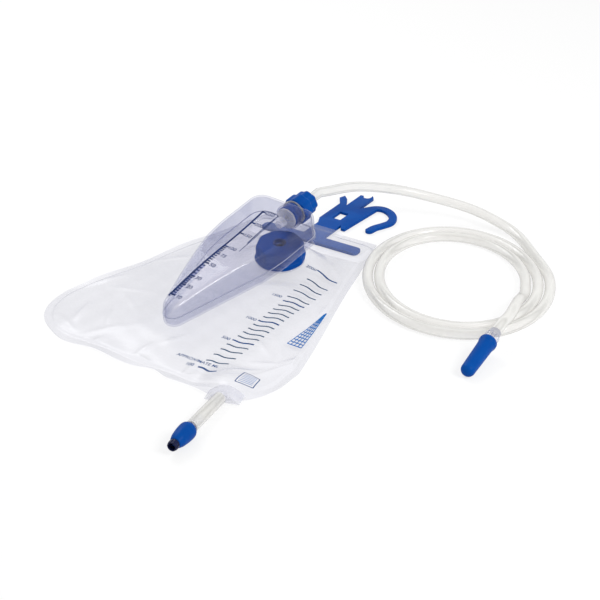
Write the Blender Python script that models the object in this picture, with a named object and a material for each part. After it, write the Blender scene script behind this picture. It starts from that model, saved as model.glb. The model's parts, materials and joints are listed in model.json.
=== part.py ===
"""Urine drainage bag with a measuring chamber, lying on its back as it is laid down.

Metres, +Z up. Every piece hangs from the bag's own frame: X across the bag, Y up the
bag towards its hanger with 0 at the bag's top edge, Z up from the floor. Sizes are
written in that frame, and the whole bag is centred over the origin at the end.
"""

from math import asin, atan2, ceil, cos, hypot, pi, radians, sin, sqrt, tan

import bmesh
import bpy
import numpy as np
from mathutils import Euler, Matrix, Vector

MM = 0.001
GAP = 0.3 * MM  # between pieces that touch, are glued or are welded
FINE = 24  # sides of a turned piece

# Bag: two films welded round the edge, nearly empty
BAG_LENGTH = 304 * MM
BAG_TOP_WIDTH = 134 * MM
BAG_WIDTH = 260 * MM
BAG_CORNER = 44 * MM  # radius of the two bottom corners
BAG_STRAIGHT = 20 * MM  # the sides spread no further in this length above the corners
FILM = 0.5 * MM
HEADER = 45 * MM  # the empty strip above the weld, which holds the hanger
PUFF = 5.5 * MM  # height of the trapped air at the middle
PUFF_SQUARENESS = 4
FILM_COLUMNS = 20

# Hanger: one flat moulding whose bar lies between the films
HANGER_THICKNESS = 3.2 * MM
HANGER_X = 5 * MM
BAR_LENGTH = 114 * MM
BAR_TOP = -20 * MM
BAR_WIDTH = 13.5 * MM
BAR_END_RADIUS = 5 * MM
STEM_WIDTH = 24 * MM
SHOULDER_Y = 17 * MM
PLATE_LEFT = 16.5 * MM  # from the hanger's middle line
PLATE_RIGHT = 20 * MM
PLATE_TOP = 58 * MM
TAB_WIDTH = 16 * MM
TAB_TOP = 88 * MM
TAB_NOTCH_RADIUS = 4.3 * MM
WINDOW_WIDTH = 10 * MM
WINDOW_LENGTH = 17 * MM
WINDOW_Y = 32 * MM
HOOK_WIDTH = 8.5 * MM
HOOK_LINE = [  # its middle line in mm from the plate's top right corner
    (-4, 0), (0, 9.5), (9, 13.5), (20, 9.5), (28.5, 0),
    (31, -11), (27.5, -21), (23.5, -29.5), (22, -38),
]
PRONG = [(-7.5, 12), (-5, 19.5), (1.5, 13)]  # in mm from the plate's top left corner
TAB_HORN = 5 * MM  # the point beside the notch
PLATE_STEP = 10 * MM  # the plate's right side starts this far below the shoulder
PLATE_NOTCH = 4.5 * MM
POCKET_MARGIN = 6 * MM  # how far the film stays lifted round the bar
POCKET_FALL = 6 * MM

# Chamber: two clear trays welded together, turned a little off the bag's line
CHAMBER_LENGTH = 182 * MM
CHAMBER_TIP_RADIUS = 9 * MM
CHAMBER_KNEE = (35 * MM, 107 * MM)  # half width, and distance from the tip
CHAMBER_SHOULDER = (36 * MM, 158 * MM)
CHAMBER_SHOULDER_RADIUS = 14 * MM
CHAMBER_DEPTH = 32 * MM
CHAMBER_TIP_DEPTH = 22 * MM
CHAMBER_SLOPE = 90 * MM  # length over which the front face rises
CHAMBER_WALL = 1.8 * MM
CHAMBER_EDGE = 4 * MM  # radius of the front and back edges
CHAMBER_DRAFT = 1 * MM
PARTING = 11 * MM  # height of the weld above the chamber's back
SWIVEL_FROM_TIP = 158.5 * MM
SWIVEL_FROM_MIDDLE = 5 * MM
SWIVEL_AT = (12.6 * MM, -93.2 * MM, 28.9 * MM)  # on the chamber's back face
CHAMBER_TURN = radians(-2.5)
CHAMBER_TILT = radians(7)
CHAMBER_ROLL = radians(3)

# Coupling between chamber and bag, turned about the swivel
KNOB_RADIUS = 23.5 * MM
KNOB_FOOT_RADIUS = 25 * MM
KNOB_HEIGHT = 17.6 * MM
KNOB_FLUTES = 8
KNOB_FLUTE_DEPTH = 1.8 * MM
KNOB_EDGE = 3.5 * MM  # the rounding of its top edge
KNOB_FOOT_HEIGHT = 4.4 * MM
KNOB_WEB = 1.8 * MM  # the inner web between spout and flange neck
CHAMFER = 1 * MM  # on the edges of the small turned pieces
SPOUT_RADIUS = 6 * MM
SPOUT_BORE = 4.4 * MM
SPOUT_LENGTH = 4 * MM
FLANGE_RADIUS = 24 * MM
FLANGE_THICKNESS = 1.5 * MM
FLANGE_NECK_RADIUS = 8 * MM
FLANGE_NECK_BORE = 5.5 * MM
FLANGE_NECK_BELOW = 2.3 * MM
SEAL_WIDTH = 2 * MM
SEAL_HEIGHT = 2.7 * MM
FLAP_RADIUS = 12 * MM
FLAP_THICKNESS = 0.6 * MM
PAD_RADIUS = 27 * MM  # the film under the flange lies flat against it
PAD_FALL = 22 * MM

# Inlet: neck, gasket, fluted cap with its plug, and the drip nozzle inside
NECK_FROM_MIDDLE = 2 * MM
NECK_HEIGHT = 17 * MM
NECK_RADIUS = 12.7 * MM
NECK_BORE = 11.1 * MM
NECK_OUT = 4.2 * MM
NECK_IN = 6 * MM
GASKET_THICKNESS = 1.2 * MM
CAP_RADIUS = 14 * MM
CAP_DRUM = 13 * MM
CAP_TOP_RADIUS = 12 * MM
CAP_TOP = 11 * MM
CAP_FLUTES = 8
CAP_FLUTE_DEPTH = 1.2 * MM
CAP_BORE = 2.2 * MM
NOSE_LENGTH = 3 * MM
NOSE_RADIUS = 3.2 * MM
DRIP_LENGTH = 14 * MM
DRIP_RADIUS = 4 * MM
DRIP_WALL = 1.2 * MM

# Drain: port between the films at a bottom corner, tube, push-pull valve
PORT_TURN = radians(16)  # where on the corner's arc the port sits
DRAIN_TURN = radians(8)  # the way the drain tube points, turned from the bag's line
PORT_WIDTH = 30 * MM
PORT_HEIGHT = 8 * MM
PORT_WING = 0.8 * MM  # thickness at the tips of its wings
PORT_ROOM = 1.5 * MM  # the raised film's height over the port's middle
PORT_SPREAD = 36 * MM  # how far to each side of its middle the port lifts the film
PORT_IN = 9 * MM
PORT_OUT = 5 * MM
PORT_AXIS = 5.5 * MM
PORT_BORE = 2.4 * MM
SPIGOT_RADIUS = 3.4 * MM
SPIGOT_LENGTH = 20 * MM
DRAIN_TUBE_RADIUS = 5.2 * MM
DRAIN_TUBE_BORE = 3.8 * MM
DRAIN_TUBE_LENGTH = 46 * MM
STEM_BARB = 12 * MM
STEM_RADIUS = 4 * MM
STEM_LENGTH = 15.5 * MM
STEM_COLLAR = 1.5 * MM
STEM_SIDE_PORT = 1.2 * MM  # radius of the hole across the stem that the sleeve uncovers
GROOVE_FROM_END = 4 * MM
SLEEVE_RADIUS = 7.6 * MM
SLEEVE_LENGTH = 23 * MM
SLEEVE_CLEARANCE = 0.4 * MM
SLEEVE_FROM_FLOOR = 0.2 * MM
NOZZLE_RADIUS = 4.4 * MM
NOZZLE_BORE = 2.8 * MM
NOZZLE_LENGTH = 5 * MM
NOZZLE_RIBS = 10
NOZZLE_RIB = 0.5 * MM
VALVE_O_RING = 1.1 * MM

# Inlet tube: it leaves the cap, comes down past the hanger and lies in loose turns
TUBE_RADIUS = 5 * MM
TUBE_STEPS = 77
TUBE_LOW = 5.2 * MM  # height of its middle line on the floor
TUBE_STUB = 14 * MM  # straight at each end
TUBE_FROM_NOSE = 0.4 * MM
LEAD_IN = [  # in mm, from the cap down to the floor
    (17.5, -13.5, 53), (31, 21, 48), (55, 59, 36), (87, 83.5, 25),
    (124.5, 97.5, 16), (160, 95.5, 9), (184, 84, 6.2),
]
COIL_MIDDLE = (167 * MM, -25 * MM)
COIL_SEMI_AXES = (89.5 * MM, 106 * MM)
COIL_TILT = radians(31)
COIL_PITCH = 11.2 * MM
COIL_START = radians(25)
COIL_TURNS = 2.115
COIL_STEPS = 15  # points in each turn
LEAD_OUT = [(237.2, -30, 7.6), (240.5, -46, 13), (244, -63, 15.7), (246.5, -80, 15.7)]  # in mm, up over two turns
TUBE_END = (247.5 * MM, -110 * MM, 15.3 * MM)

# Connector and its cap at the far end
CONNECTOR_TURN = radians(1)
CONNECTOR_FALL = radians(9.2)
CONNECTOR_RADIUS = 6.8 * MM
CONNECTOR_BODY = 13 * MM
CONNECTOR_SLEEVE = 6 * MM  # the stepped part next to the tube
CONNECTOR_TAPER = 28 * MM
CONNECTOR_TAPER_RADII = (4.5 * MM, 3.2 * MM)
CONNECTOR_BORE = 2 * MM
END_CAP_COLLAR_RADIUS = 8 * MM
END_CAP_COLLAR = 6 * MM
END_CAP_RADII = (7.2 * MM, 6.3 * MM)
END_CAP_LENGTH = 47 * MM


def material(name, colour, roughness, alpha=1.0):
    """A Principled material. colour is linear red, green and blue."""
    made = bpy.data.materials.get(name) or bpy.data.materials.new(name)
    made.use_nodes = True
    made.diffuse_color = (*colour, alpha)
    shader = made.node_tree.nodes["Principled BSDF"]
    shader.inputs["Base Color"].default_value = (*colour, 1)
    shader.inputs["Roughness"].default_value = roughness
    shader.inputs["Metallic"].default_value = 0
    shader.inputs["Alpha"].default_value = alpha
    return made


def clear_film():
    return material("clear_pvc_film", (0.78, 0.79, 0.86), 0.25, 0.5)


def clear_plastic():
    return material("clear_moulding", (0.72, 0.73, 0.84), 0.12, 0.4)


def blue_plastic():
    return material("blue_moulding", (0.012, 0.085, 0.37), 0.35)


def navy_plastic():
    return material("navy_moulding", (0.006, 0.008, 0.05), 0.3)


def milky_tube():
    return material("milky_pvc_tube", (0.74, 0.73, 0.7), 0.3, 0.8)


def pale_rubber():
    return material("silicone_rubber", (0.6, 0.6, 0.62), 0.6)


def empty(name, parent, location=(0, 0, 0), turn=(0, 0, 0), order="XYZ"):
    frame = bpy.data.objects.new(name, None)
    bpy.context.scene.collection.objects.link(frame)
    frame.parent = parent
    frame.rotation_mode = order
    frame.location = location
    frame.rotation_euler = turn
    return frame


def solid(name, shape, parent, finish=None):
    """The bmesh as a named object. Without a finish it is a cutter or a filler for a Boolean."""
    mesh = bpy.data.meshes.new(name)
    shape.to_mesh(mesh)
    shape.free()
    thing = bpy.data.objects.new(name, mesh)
    bpy.context.scene.collection.objects.link(thing)
    thing.parent = parent
    if finish is None:
        thing.hide_render = True
        thing.display_type = "WIRE"
    else:
        mesh.materials.append(finish)
        mesh.shade_smooth()
        mesh.set_sharp_from_angle(angle=radians(35))
    return thing


def boolean(thing, operation, other):
    step = thing.modifiers.new(other.name, "BOOLEAN")
    step.operation = operation
    step.solver = "EXACT"
    step.object = other


def fluted(radius, depth, lobes, angle):
    """The radius at an angle, pulled in by depth between the lobes."""
    return radius - depth * (0.5 - 0.5 * cos(lobes * angle))


def turned(profile, lobes=0, sides=FINE):
    """A profile of (radius, height) or (radius, height, flute depth) turned about Z.

    It is closed on itself, or runs from the axis to the axis.
    """
    shape = bmesh.new()
    rings = []
    for radius, height, *flute in profile:
        depth = flute[0] if flute else 0
        count = 1 if radius == 0 else sides
        ring = []
        for i in range(count):
            angle = 2 * pi * i / sides
            r = fluted(radius, depth, lobes, angle)
            ring.append(shape.verts.new((r * cos(angle), r * sin(angle), height)))
        rings.append(ring)
    on_axis = profile[0][0] == 0
    pairs = list(zip(rings, rings[1:])) + ([] if on_axis else [(rings[-1], rings[0])])
    for a, b in pairs:
        for i in range(sides):
            j = (i + 1) % sides
            corners = [a[i % len(a)], a[j % len(a)], b[j % len(b)], b[i % len(b)]]
            shape.faces.new(list(dict.fromkeys(corners)))
    bmesh.ops.recalc_face_normals(shape, faces=shape.faces)
    return shape


def cylinder(radius, low, high, sides=FINE):
    return turned([(0, low), (radius, low), (radius, high), (0, high)], sides=sides)


def plate(outline, low, high):
    """A flat outline of (x, y) points extruded from low to high."""
    shape = bmesh.new()
    bottom = [shape.verts.new((x, y, low)) for x, y in outline]
    face = shape.faces.new(bottom)
    raised = bmesh.ops.extrude_face_region(shape, geom=[face])["geom"]
    top = [v for v in raised if isinstance(v, bmesh.types.BMVert)]
    bmesh.ops.translate(shape, vec=(0, 0, high - low), verts=top)
    bmesh.ops.recalc_face_normals(shape, faces=shape.faces)
    return shape


def arc(middle, radius, start, end, steps):
    """Points on an arc from start to end, both included."""
    angles = [start + (end - start) * i / steps for i in range(steps + 1)]
    return [(middle[0] + radius * cos(a), middle[1] + radius * sin(a)) for a in angles]


def ease(t):
    """0 to 1 with no corner at either end."""
    t = min(max(t, 0), 1)
    return t * t * (3 - 2 * t)


def smooth_line(points, count):
    """count points at equal steps along a Catmull-Rom curve through the given ones."""
    given = np.array(points, float)
    before = 2 * given[0] - given[1]
    after = 2 * given[-1] - given[-2]
    p = np.vstack([before, given, after])
    t = np.linspace(0, 1, 24, endpoint=False)[:, None]
    pieces = []
    for a, b, c, d in zip(p, p[1:], p[2:], p[3:]):
        square = 2 * a - 5 * b + 4 * c - d
        cube = 3 * b - a - 3 * c + d
        pieces.append(0.5 * (2 * b + (c - a) * t + square * t**2 + cube * t**3))
    fine = np.vstack(pieces + [given[-1:]])
    steps = np.linalg.norm(np.diff(fine, axis=0), axis=1)
    run = np.concatenate([[0], np.cumsum(steps)])
    wanted = np.linspace(0, run[-1], count)
    return np.stack([np.interp(wanted, run, axis) for axis in fine.T], axis=1)


def bag_half_width(y):
    """Half the bag's width at y, which is 0 at the top edge and negative below it."""
    spread = min(-y / (BAG_LENGTH - BAG_CORNER - BAG_STRAIGHT), 1)
    half = (BAG_TOP_WIDTH + (BAG_WIDTH - BAG_TOP_WIDTH) * spread) / 2
    into_corner = -y - (BAG_LENGTH - BAG_CORNER)
    if into_corner > 0:
        half += sqrt(max(BAG_CORNER**2 - into_corner**2, 0)) - BAG_CORNER
    return half


def bag_rows():
    """The heights at which the films are sectioned, close together where they bend most."""
    header = list(np.linspace(0, -HEADER, 10))
    body = list(np.linspace(-HEADER, BAG_CORNER - BAG_LENGTH, 16))[1:]
    turns = np.linspace(0, pi / 2, 7)[1:]
    corner = [BAG_CORNER - BAG_LENGTH - BAG_CORNER * sin(turn) for turn in turns]
    return header + body + corner


def port_place():
    """Where the drain port sits: on the arc of the right bottom corner."""
    x = BAG_WIDTH / 2 - BAG_CORNER + BAG_CORNER * sin(PORT_TURN)
    y = BAG_CORNER - BAG_LENGTH - BAG_CORNER * cos(PORT_TURN)
    return x, y


def swivel_turn():
    return Euler((CHAMBER_TILT, CHAMBER_ROLL, CHAMBER_TURN), "YXZ").to_matrix()


def film_drop():
    """From the chamber's back face down to the film that carries the flange."""
    return GAP + KNOB_HEIGHT + GAP + FLANGE_THICKNESS + GAP


def pocket_lift(x, y):
    """How far the hanger's bar and stem lift the front film."""
    along = abs(x - HANGER_X)
    below = max(BAR_TOP - BAR_WIDTH - y, 0)
    to_bar = hypot(max(along - BAR_LENGTH / 2, 0), max(below, y - BAR_TOP))
    to_stem = hypot(max(along - STEM_WIDTH / 2, 0), below)
    away = min(to_bar, to_stem) - POCKET_MARGIN
    return (HANGER_THICKNESS + GAP) * (1 - ease(away / POCKET_FALL))


def port_lift(x, y):
    """How far the drain port lifts the front film."""
    px, py = port_place()
    across = (x - px) * cos(PORT_TURN) + (y - py) * sin(PORT_TURN)
    inward = -(x - px) * sin(PORT_TURN) + (y - py) * cos(PORT_TURN)
    bell = cos(pi / 2 * min(abs(across) / PORT_SPREAD, 1)) ** 2
    fall = 1 - ease((inward - 1.5 * PORT_IN) / (4 * PORT_IN))
    return (PORT_HEIGHT + GAP + PORT_ROOM) * bell * fall


def front_film_height(x, y):
    """The top of the front film over the floor."""
    welded = 2 * FILM + GAP
    share = (-y - HEADER) / (BAG_LENGTH - HEADER)
    along = max(1 - abs(2 * share - 1) ** PUFF_SQUARENESS, 0) if share > 0 else 0
    air = PUFF * along * max(1 - (x / bag_half_width(y)) ** 2, 0)
    free = welded + air + pocket_lift(x, y) + port_lift(x, y)
    up = swivel_turn() @ Vector((0, 0, 1))
    foot = Vector(SWIVEL_AT) - up * film_drop()
    flat = foot.z - (up.x * (x - foot.x) + up.y * (y - foot.y)) / up.z
    near = 1 - ease((hypot(x - foot.x, y - foot.y) - PAD_RADIUS) / PAD_FALL)
    return free + (flat - free) * near


def build_bag(bag):
    rows = bag_rows()
    right = [(bag_half_width(y), y) for y in rows]
    left = [(-x, y) for x, y in reversed(right)]
    solid("bag_back_film", plate(left + right, 0, FILM), bag, clear_film())

    shape = bmesh.new()
    grid = []
    for y in rows:
        across = np.linspace(-1, 1, FILM_COLUMNS + 1) * bag_half_width(y)
        grid.append([shape.verts.new((x, y, front_film_height(x, y))) for x in across])
    for upper, lower in zip(grid, grid[1:]):
        for i in range(FILM_COLUMNS):
            shape.faces.new((lower[i], lower[i + 1], upper[i + 1], upper[i]))
    film = solid("bag_front_film", shape, bag, clear_film())
    wall = film.modifiers.new("wall", "SOLIDIFY")
    wall.thickness = FILM
    wall.offset = -1
    return film


def build_hanger(bag):
    low = FILM + GAP
    half_bar = BAR_LENGTH / 2
    half_stem = STEM_WIDTH / 2
    bar_low = BAR_TOP - BAR_WIDTH
    r = BAR_END_RADIUS
    right_end = arc((half_bar - r, BAR_TOP - r), r, pi / 2, 0, 4)
    right_end += arc((half_bar - r, bar_low + r), r, 0, -pi / 2, 4)
    bar = right_end + [(-x, y) for x, y in reversed(right_end)]

    hook = smooth_line([(PLATE_RIGHT + x * MM, PLATE_TOP + y * MM) for x, y in HOOK_LINE], 20)
    along = np.gradient(hook, axis=0)
    along /= np.linalg.norm(along, axis=1)[:, None]
    side = np.stack([-along[:, 1], along[:, 0]], axis=1) * HOOK_WIDTH / 2
    heading = atan2(along[-1][1], along[-1][0])
    outer = [tuple(p) for p in hook + side][2:-1]
    inner = [tuple(p) for p in hook - side][3:-1]
    tip = arc(hook[-1], HOOK_WIDTH / 2, heading + pi / 2, heading - pi / 2, 6)

    tab = TAB_WIDTH / 2
    notch = arc((0, TAB_TOP), TAB_NOTCH_RADIUS, 0, -pi, 8)
    prong = [(x * MM - PLATE_LEFT, PLATE_TOP + y * MM) for x, y in PRONG]
    outline = bar + [(-half_stem, BAR_TOP), (-half_stem, SHOULDER_Y - PLATE_STEP)]
    outline += [(-PLATE_LEFT, SHOULDER_Y), (-PLATE_LEFT, PLATE_TOP)] + prong
    outline += [(-tab, PLATE_TOP), (-tab, TAB_TOP)] + list(reversed(notch))
    outline += [(TAB_NOTCH_RADIUS, TAB_TOP + TAB_HORN), (tab, TAB_TOP), (tab, PLATE_TOP)]
    outline += outer + tip + list(reversed(inner))
    outline += [(PLATE_RIGHT, SHOULDER_Y - PLATE_STEP)]
    outline += [(PLATE_RIGHT - PLATE_NOTCH, SHOULDER_Y - PLATE_STEP)]
    outline += [(half_stem, SHOULDER_Y - PLATE_NOTCH), (half_stem, BAR_TOP)]
    placed = [(x + HANGER_X, y) for x, y in outline]
    hanger = solid("hanger", plate(placed, low, low + HANGER_THICKNESS), bag, blue_plastic())
    left = HANGER_X - WINDOW_WIDTH / 2
    right = HANGER_X + WINDOW_WIDTH / 2
    below = WINDOW_Y - WINDOW_LENGTH / 2
    above = WINDOW_Y + WINDOW_LENGTH / 2
    window = [(left, below), (right, below), (right, above), (left, above)]
    cutter = solid("hanger_window", plate(window, 0, low + 2 * HANGER_THICKNESS), bag)
    boolean(hanger, "DIFFERENCE", cutter)


def chamber_half_outline():
    """Half of the chamber's plan as (x, distance from the tip), tip to end wall."""
    knee_x, knee_y = CHAMBER_KNEE
    r = CHAMBER_TIP_RADIUS
    reach = hypot(knee_x, knee_y - r)
    lean = atan2(knee_x, knee_y - r) - asin(r / reach)
    tip = arc((0, r), r, -pi / 2, -lean, 5)
    side_x, side_y = CHAMBER_SHOULDER
    s = CHAMBER_SHOULDER_RADIUS
    shoulder = arc((side_x - s, CHAMBER_LENGTH - s), s, 0, pi / 2, 7)
    rise = [(knee_x * t + tip[-1][0] * (1 - t), knee_y * t + tip[-1][1] * (1 - t)) for t in (0.27, 0.55, 0.8)]
    return tip + rise + [(knee_x, knee_y), ((knee_x + side_x) / 2, (knee_y + side_y) / 2)] + shoulder


def chamber_loop(inset):
    """Half of the plan pulled in by inset, from the tip to the corner of the end wall."""
    half = np.array(chamber_half_outline())
    along = np.vstack([np.diff(half, axis=0), [-1, 0]])
    normals = np.stack([along[:, 1], -along[:, 0]], axis=1)
    normals /= np.linalg.norm(normals, axis=1)[:, None]
    meeting = normals[:-1] + normals[1:]
    meeting /= (1 + (normals[:-1] * normals[1:]).sum(axis=1))[:, None]
    outward = np.vstack([[0, -1], meeting])
    return half - inset * outward


def chamber_front_height(distance):
    """The front face over the chamber's back, at a distance from the tip."""
    rise = min(max(distance, 0) / CHAMBER_SLOPE, 1)
    return CHAMBER_TIP_DEPTH + (CHAMBER_DEPTH - CHAMBER_TIP_DEPTH) * sin(pi / 2 * rise)


def tray(levels, upwards):
    """An open tray on the chamber's plan. levels are (inset, height at a distance from the tip)."""
    shape = bmesh.new()
    rings = []
    for inset, height in levels:
        right = chamber_loop(inset)
        whole = [tuple(p) for p in right] + [(-x, y) for x, y in reversed(right[1:])]
        ring = [shape.verts.new((x - SWIVEL_FROM_MIDDLE, y - SWIVEL_FROM_TIP, height(y))) for x, y in whole]
        rings.append(ring)
    count = len(rings[0])
    for a, b in zip(rings, rings[1:]):
        for i in range(count):
            j = (i + 1) % count
            shape.faces.new((a[i], a[j], b[j], b[i]))
    lid = rings[-1]
    shape.faces.new((lid[0], lid[1], lid[-1]))
    for i in range(1, count // 2):
        shape.faces.new((lid[i], lid[i + 1], lid[-i - 1], lid[-i]))
    if not upwards:
        bmesh.ops.reverse_faces(shape, faces=shape.faces)
    return shape


def add_wall(thing):
    wall = thing.modifiers.new("wall", "SOLIDIFY")
    wall.thickness = CHAMBER_WALL
    wall.offset = -1
    wall.use_even_offset = True


def build_chamber(swivel, inlet):
    front_levels = [(-CHAMBER_DRAFT, lambda y: PARTING + GAP / 2)]
    back_levels = [(-CHAMBER_DRAFT, lambda y: PARTING - GAP / 2)]
    for step in range(4):
        turn = pi / 2 * step / 3
        inset = CHAMBER_EDGE * (1 - cos(turn))
        drop = CHAMBER_EDGE * (1 - sin(turn))
        front_levels.append((inset, lambda y, drop=drop: chamber_front_height(y) - drop))
        back_levels.append((inset - CHAMBER_DRAFT, lambda y, drop=drop: drop))
    front = solid("chamber_front_shell", tray(front_levels, True), swivel, clear_plastic())
    back = solid("chamber_back_shell", tray(back_levels, False), swivel, clear_plastic())
    add_wall(front)
    add_wall(back)

    neck = cylinder(NECK_RADIUS, -NECK_IN, NECK_OUT)
    neck_bore = cylinder(NECK_BORE, -2 * NECK_IN, 2 * NECK_IN)
    neck_room = cylinder(NECK_RADIUS + GAP, -2 * NECK_IN, 2 * NECK_IN)
    boolean(front, "UNION", solid("neck", neck, inlet))
    boolean(front, "DIFFERENCE", solid("neck_bore", neck_bore, inlet))
    boolean(back, "DIFFERENCE", solid("neck_room", neck_room, inlet))
    spout = cylinder(SPOUT_RADIUS, -SPOUT_LENGTH, CHAMBER_WALL / 2)
    spout_bore = cylinder(SPOUT_BORE, -2 * SPOUT_LENGTH, 2 * SPOUT_LENGTH)
    boolean(back, "UNION", solid("spout", spout, swivel))
    boolean(back, "DIFFERENCE", solid("spout_bore", spout_bore, swivel))


def build_coupling(bag, swivel, seat, film):
    """seat stands where the swivel does, and stays with the bag."""
    top = -GAP
    foot = top - KNOB_HEIGHT
    deep = KNOB_FLUTE_DEPTH
    pocket = foot + SEAL_HEIGHT + 2 * GAP
    seal_out = FLANGE_NECK_RADIUS + GAP + SEAL_WIDTH
    room = FLANGE_NECK_RADIUS + GAP
    web_top = -SPOUT_LENGTH - GAP
    web_low = web_top - KNOB_WEB
    knob = [
        (SPOUT_RADIUS + GAP, top),
        (KNOB_RADIUS - KNOB_EDGE, top),
        (KNOB_RADIUS - 0.3 * KNOB_EDGE, top - 0.3 * KNOB_EDGE, deep / 2),
        (KNOB_RADIUS, top - KNOB_EDGE, deep),
        (KNOB_RADIUS, foot + KNOB_FOOT_HEIGHT + CHAMFER, deep),
        (KNOB_FOOT_RADIUS, foot + KNOB_FOOT_HEIGHT, deep),
        (KNOB_FOOT_RADIUS, foot + CHAMFER, deep),
        (KNOB_FOOT_RADIUS - CHAMFER, foot, deep),
        (seal_out + GAP, foot),
        (seal_out + GAP, pocket),
        (room, pocket),
        (room, web_low),
        (SPOUT_BORE, web_low),
        (SPOUT_BORE, web_top),
        (SPOUT_RADIUS + GAP, web_top),
    ]
    solid("coupling_knob", turned(knob, KNOB_FLUTES, 2 * FINE), swivel, blue_plastic())

    disc_top = foot - GAP
    disc_low = disc_top - FLANGE_THICKNESS
    flange = [
        (FLANGE_NECK_BORE, web_low - GAP),
        (FLANGE_NECK_RADIUS, web_low - GAP),
        (FLANGE_NECK_RADIUS, disc_top),
        (FLANGE_RADIUS, disc_top),
        (FLANGE_RADIUS, disc_low),
        (FLANGE_NECK_RADIUS, disc_low),
        (FLANGE_NECK_RADIUS, disc_low - FLANGE_NECK_BELOW),
        (FLANGE_NECK_BORE, disc_low - FLANGE_NECK_BELOW),
    ]
    solid("bag_inlet_flange", turned(flange), seat, clear_plastic())

    inner = FLANGE_NECK_RADIUS + GAP / 2
    seal_top = foot + SEAL_HEIGHT
    seal = [(inner, foot), (seal_out, foot), (seal_out, seal_top), (inner, seal_top)]
    solid("coupling_seal", turned(seal), seat, pale_rubber())

    flap_top = disc_low - FLANGE_NECK_BELOW - GAP
    flap = cylinder(FLAP_RADIUS, flap_top - FLAP_THICKNESS, flap_top)
    solid("anti_reflux_flap", flap, seat, clear_film())
    reach = FLANGE_THICKNESS + FLANGE_NECK_BELOW
    hole = cylinder(FLANGE_NECK_RADIUS + 2 * GAP, disc_low - reach, disc_low + reach)
    boolean(film, "DIFFERENCE", solid("inlet_hole", hole, seat))


def build_inlet(inlet):
    """Turned about the neck's axis, with 0 at the chamber's end wall."""
    gasket_low = NECK_OUT + GAP
    drum = gasket_low + GASKET_THICKNESS + GAP
    step = drum + CAP_DRUM
    top = step + CAP_TOP
    nose = top + NOSE_LENGTH
    plug = NECK_BORE - GAP
    gasket_high = gasket_low + GASKET_THICKNESS
    hole = plug + GAP
    gasket = [(hole, gasket_low), (NECK_RADIUS, gasket_low), (NECK_RADIUS, gasket_high), (hole, gasket_high)]
    solid("inlet_gasket", turned(gasket), inlet, pale_rubber())
    deep = CAP_FLUTE_DEPTH
    cap = [
        (CAP_BORE, -NECK_IN),
        (plug, -NECK_IN),
        (plug, drum),
        (CAP_RADIUS - CHAMFER, drum, deep),
        (CAP_RADIUS, drum + CHAMFER, deep),
        (CAP_RADIUS, step - CHAMFER, deep),
        ((CAP_RADIUS + 2 * CAP_TOP_RADIUS) / 3, step, deep),
        (CAP_TOP_RADIUS, step + 0.6 * CHAMFER, deep),
        (CAP_TOP_RADIUS, top - 1.5 * CHAMFER, deep),
        (CAP_TOP_RADIUS - 1.5 * CHAMFER, top, deep / 2),
        (2 * NOSE_RADIUS, top + 0.6 * CHAMFER),
        (NOSE_RADIUS, nose),
        (CAP_BORE, nose),
    ]
    solid("inlet_cap", turned(cap, CAP_FLUTES, 2 * FINE), inlet, blue_plastic())
    low = -NECK_IN - GAP
    wide = plug - GAP
    waist = DRIP_RADIUS + CHAMFER
    drip = [
        (wide, low),
        (wide, low - DRIP_LENGTH / 7),
        (waist, low - DRIP_LENGTH / 2),
        (DRIP_RADIUS, low - DRIP_LENGTH),
        (DRIP_RADIUS - DRIP_WALL, low - DRIP_LENGTH),
        (waist - DRIP_WALL, low - DRIP_LENGTH / 2 + DRIP_WALL / 2),
        (wide - DRIP_WALL, low - DRIP_LENGTH / 7 + DRIP_WALL / 2),
        (wide - DRIP_WALL, low),
    ]
    solid("drip_nozzle", turned(drip), inlet, clear_plastic())
    return nose


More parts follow.
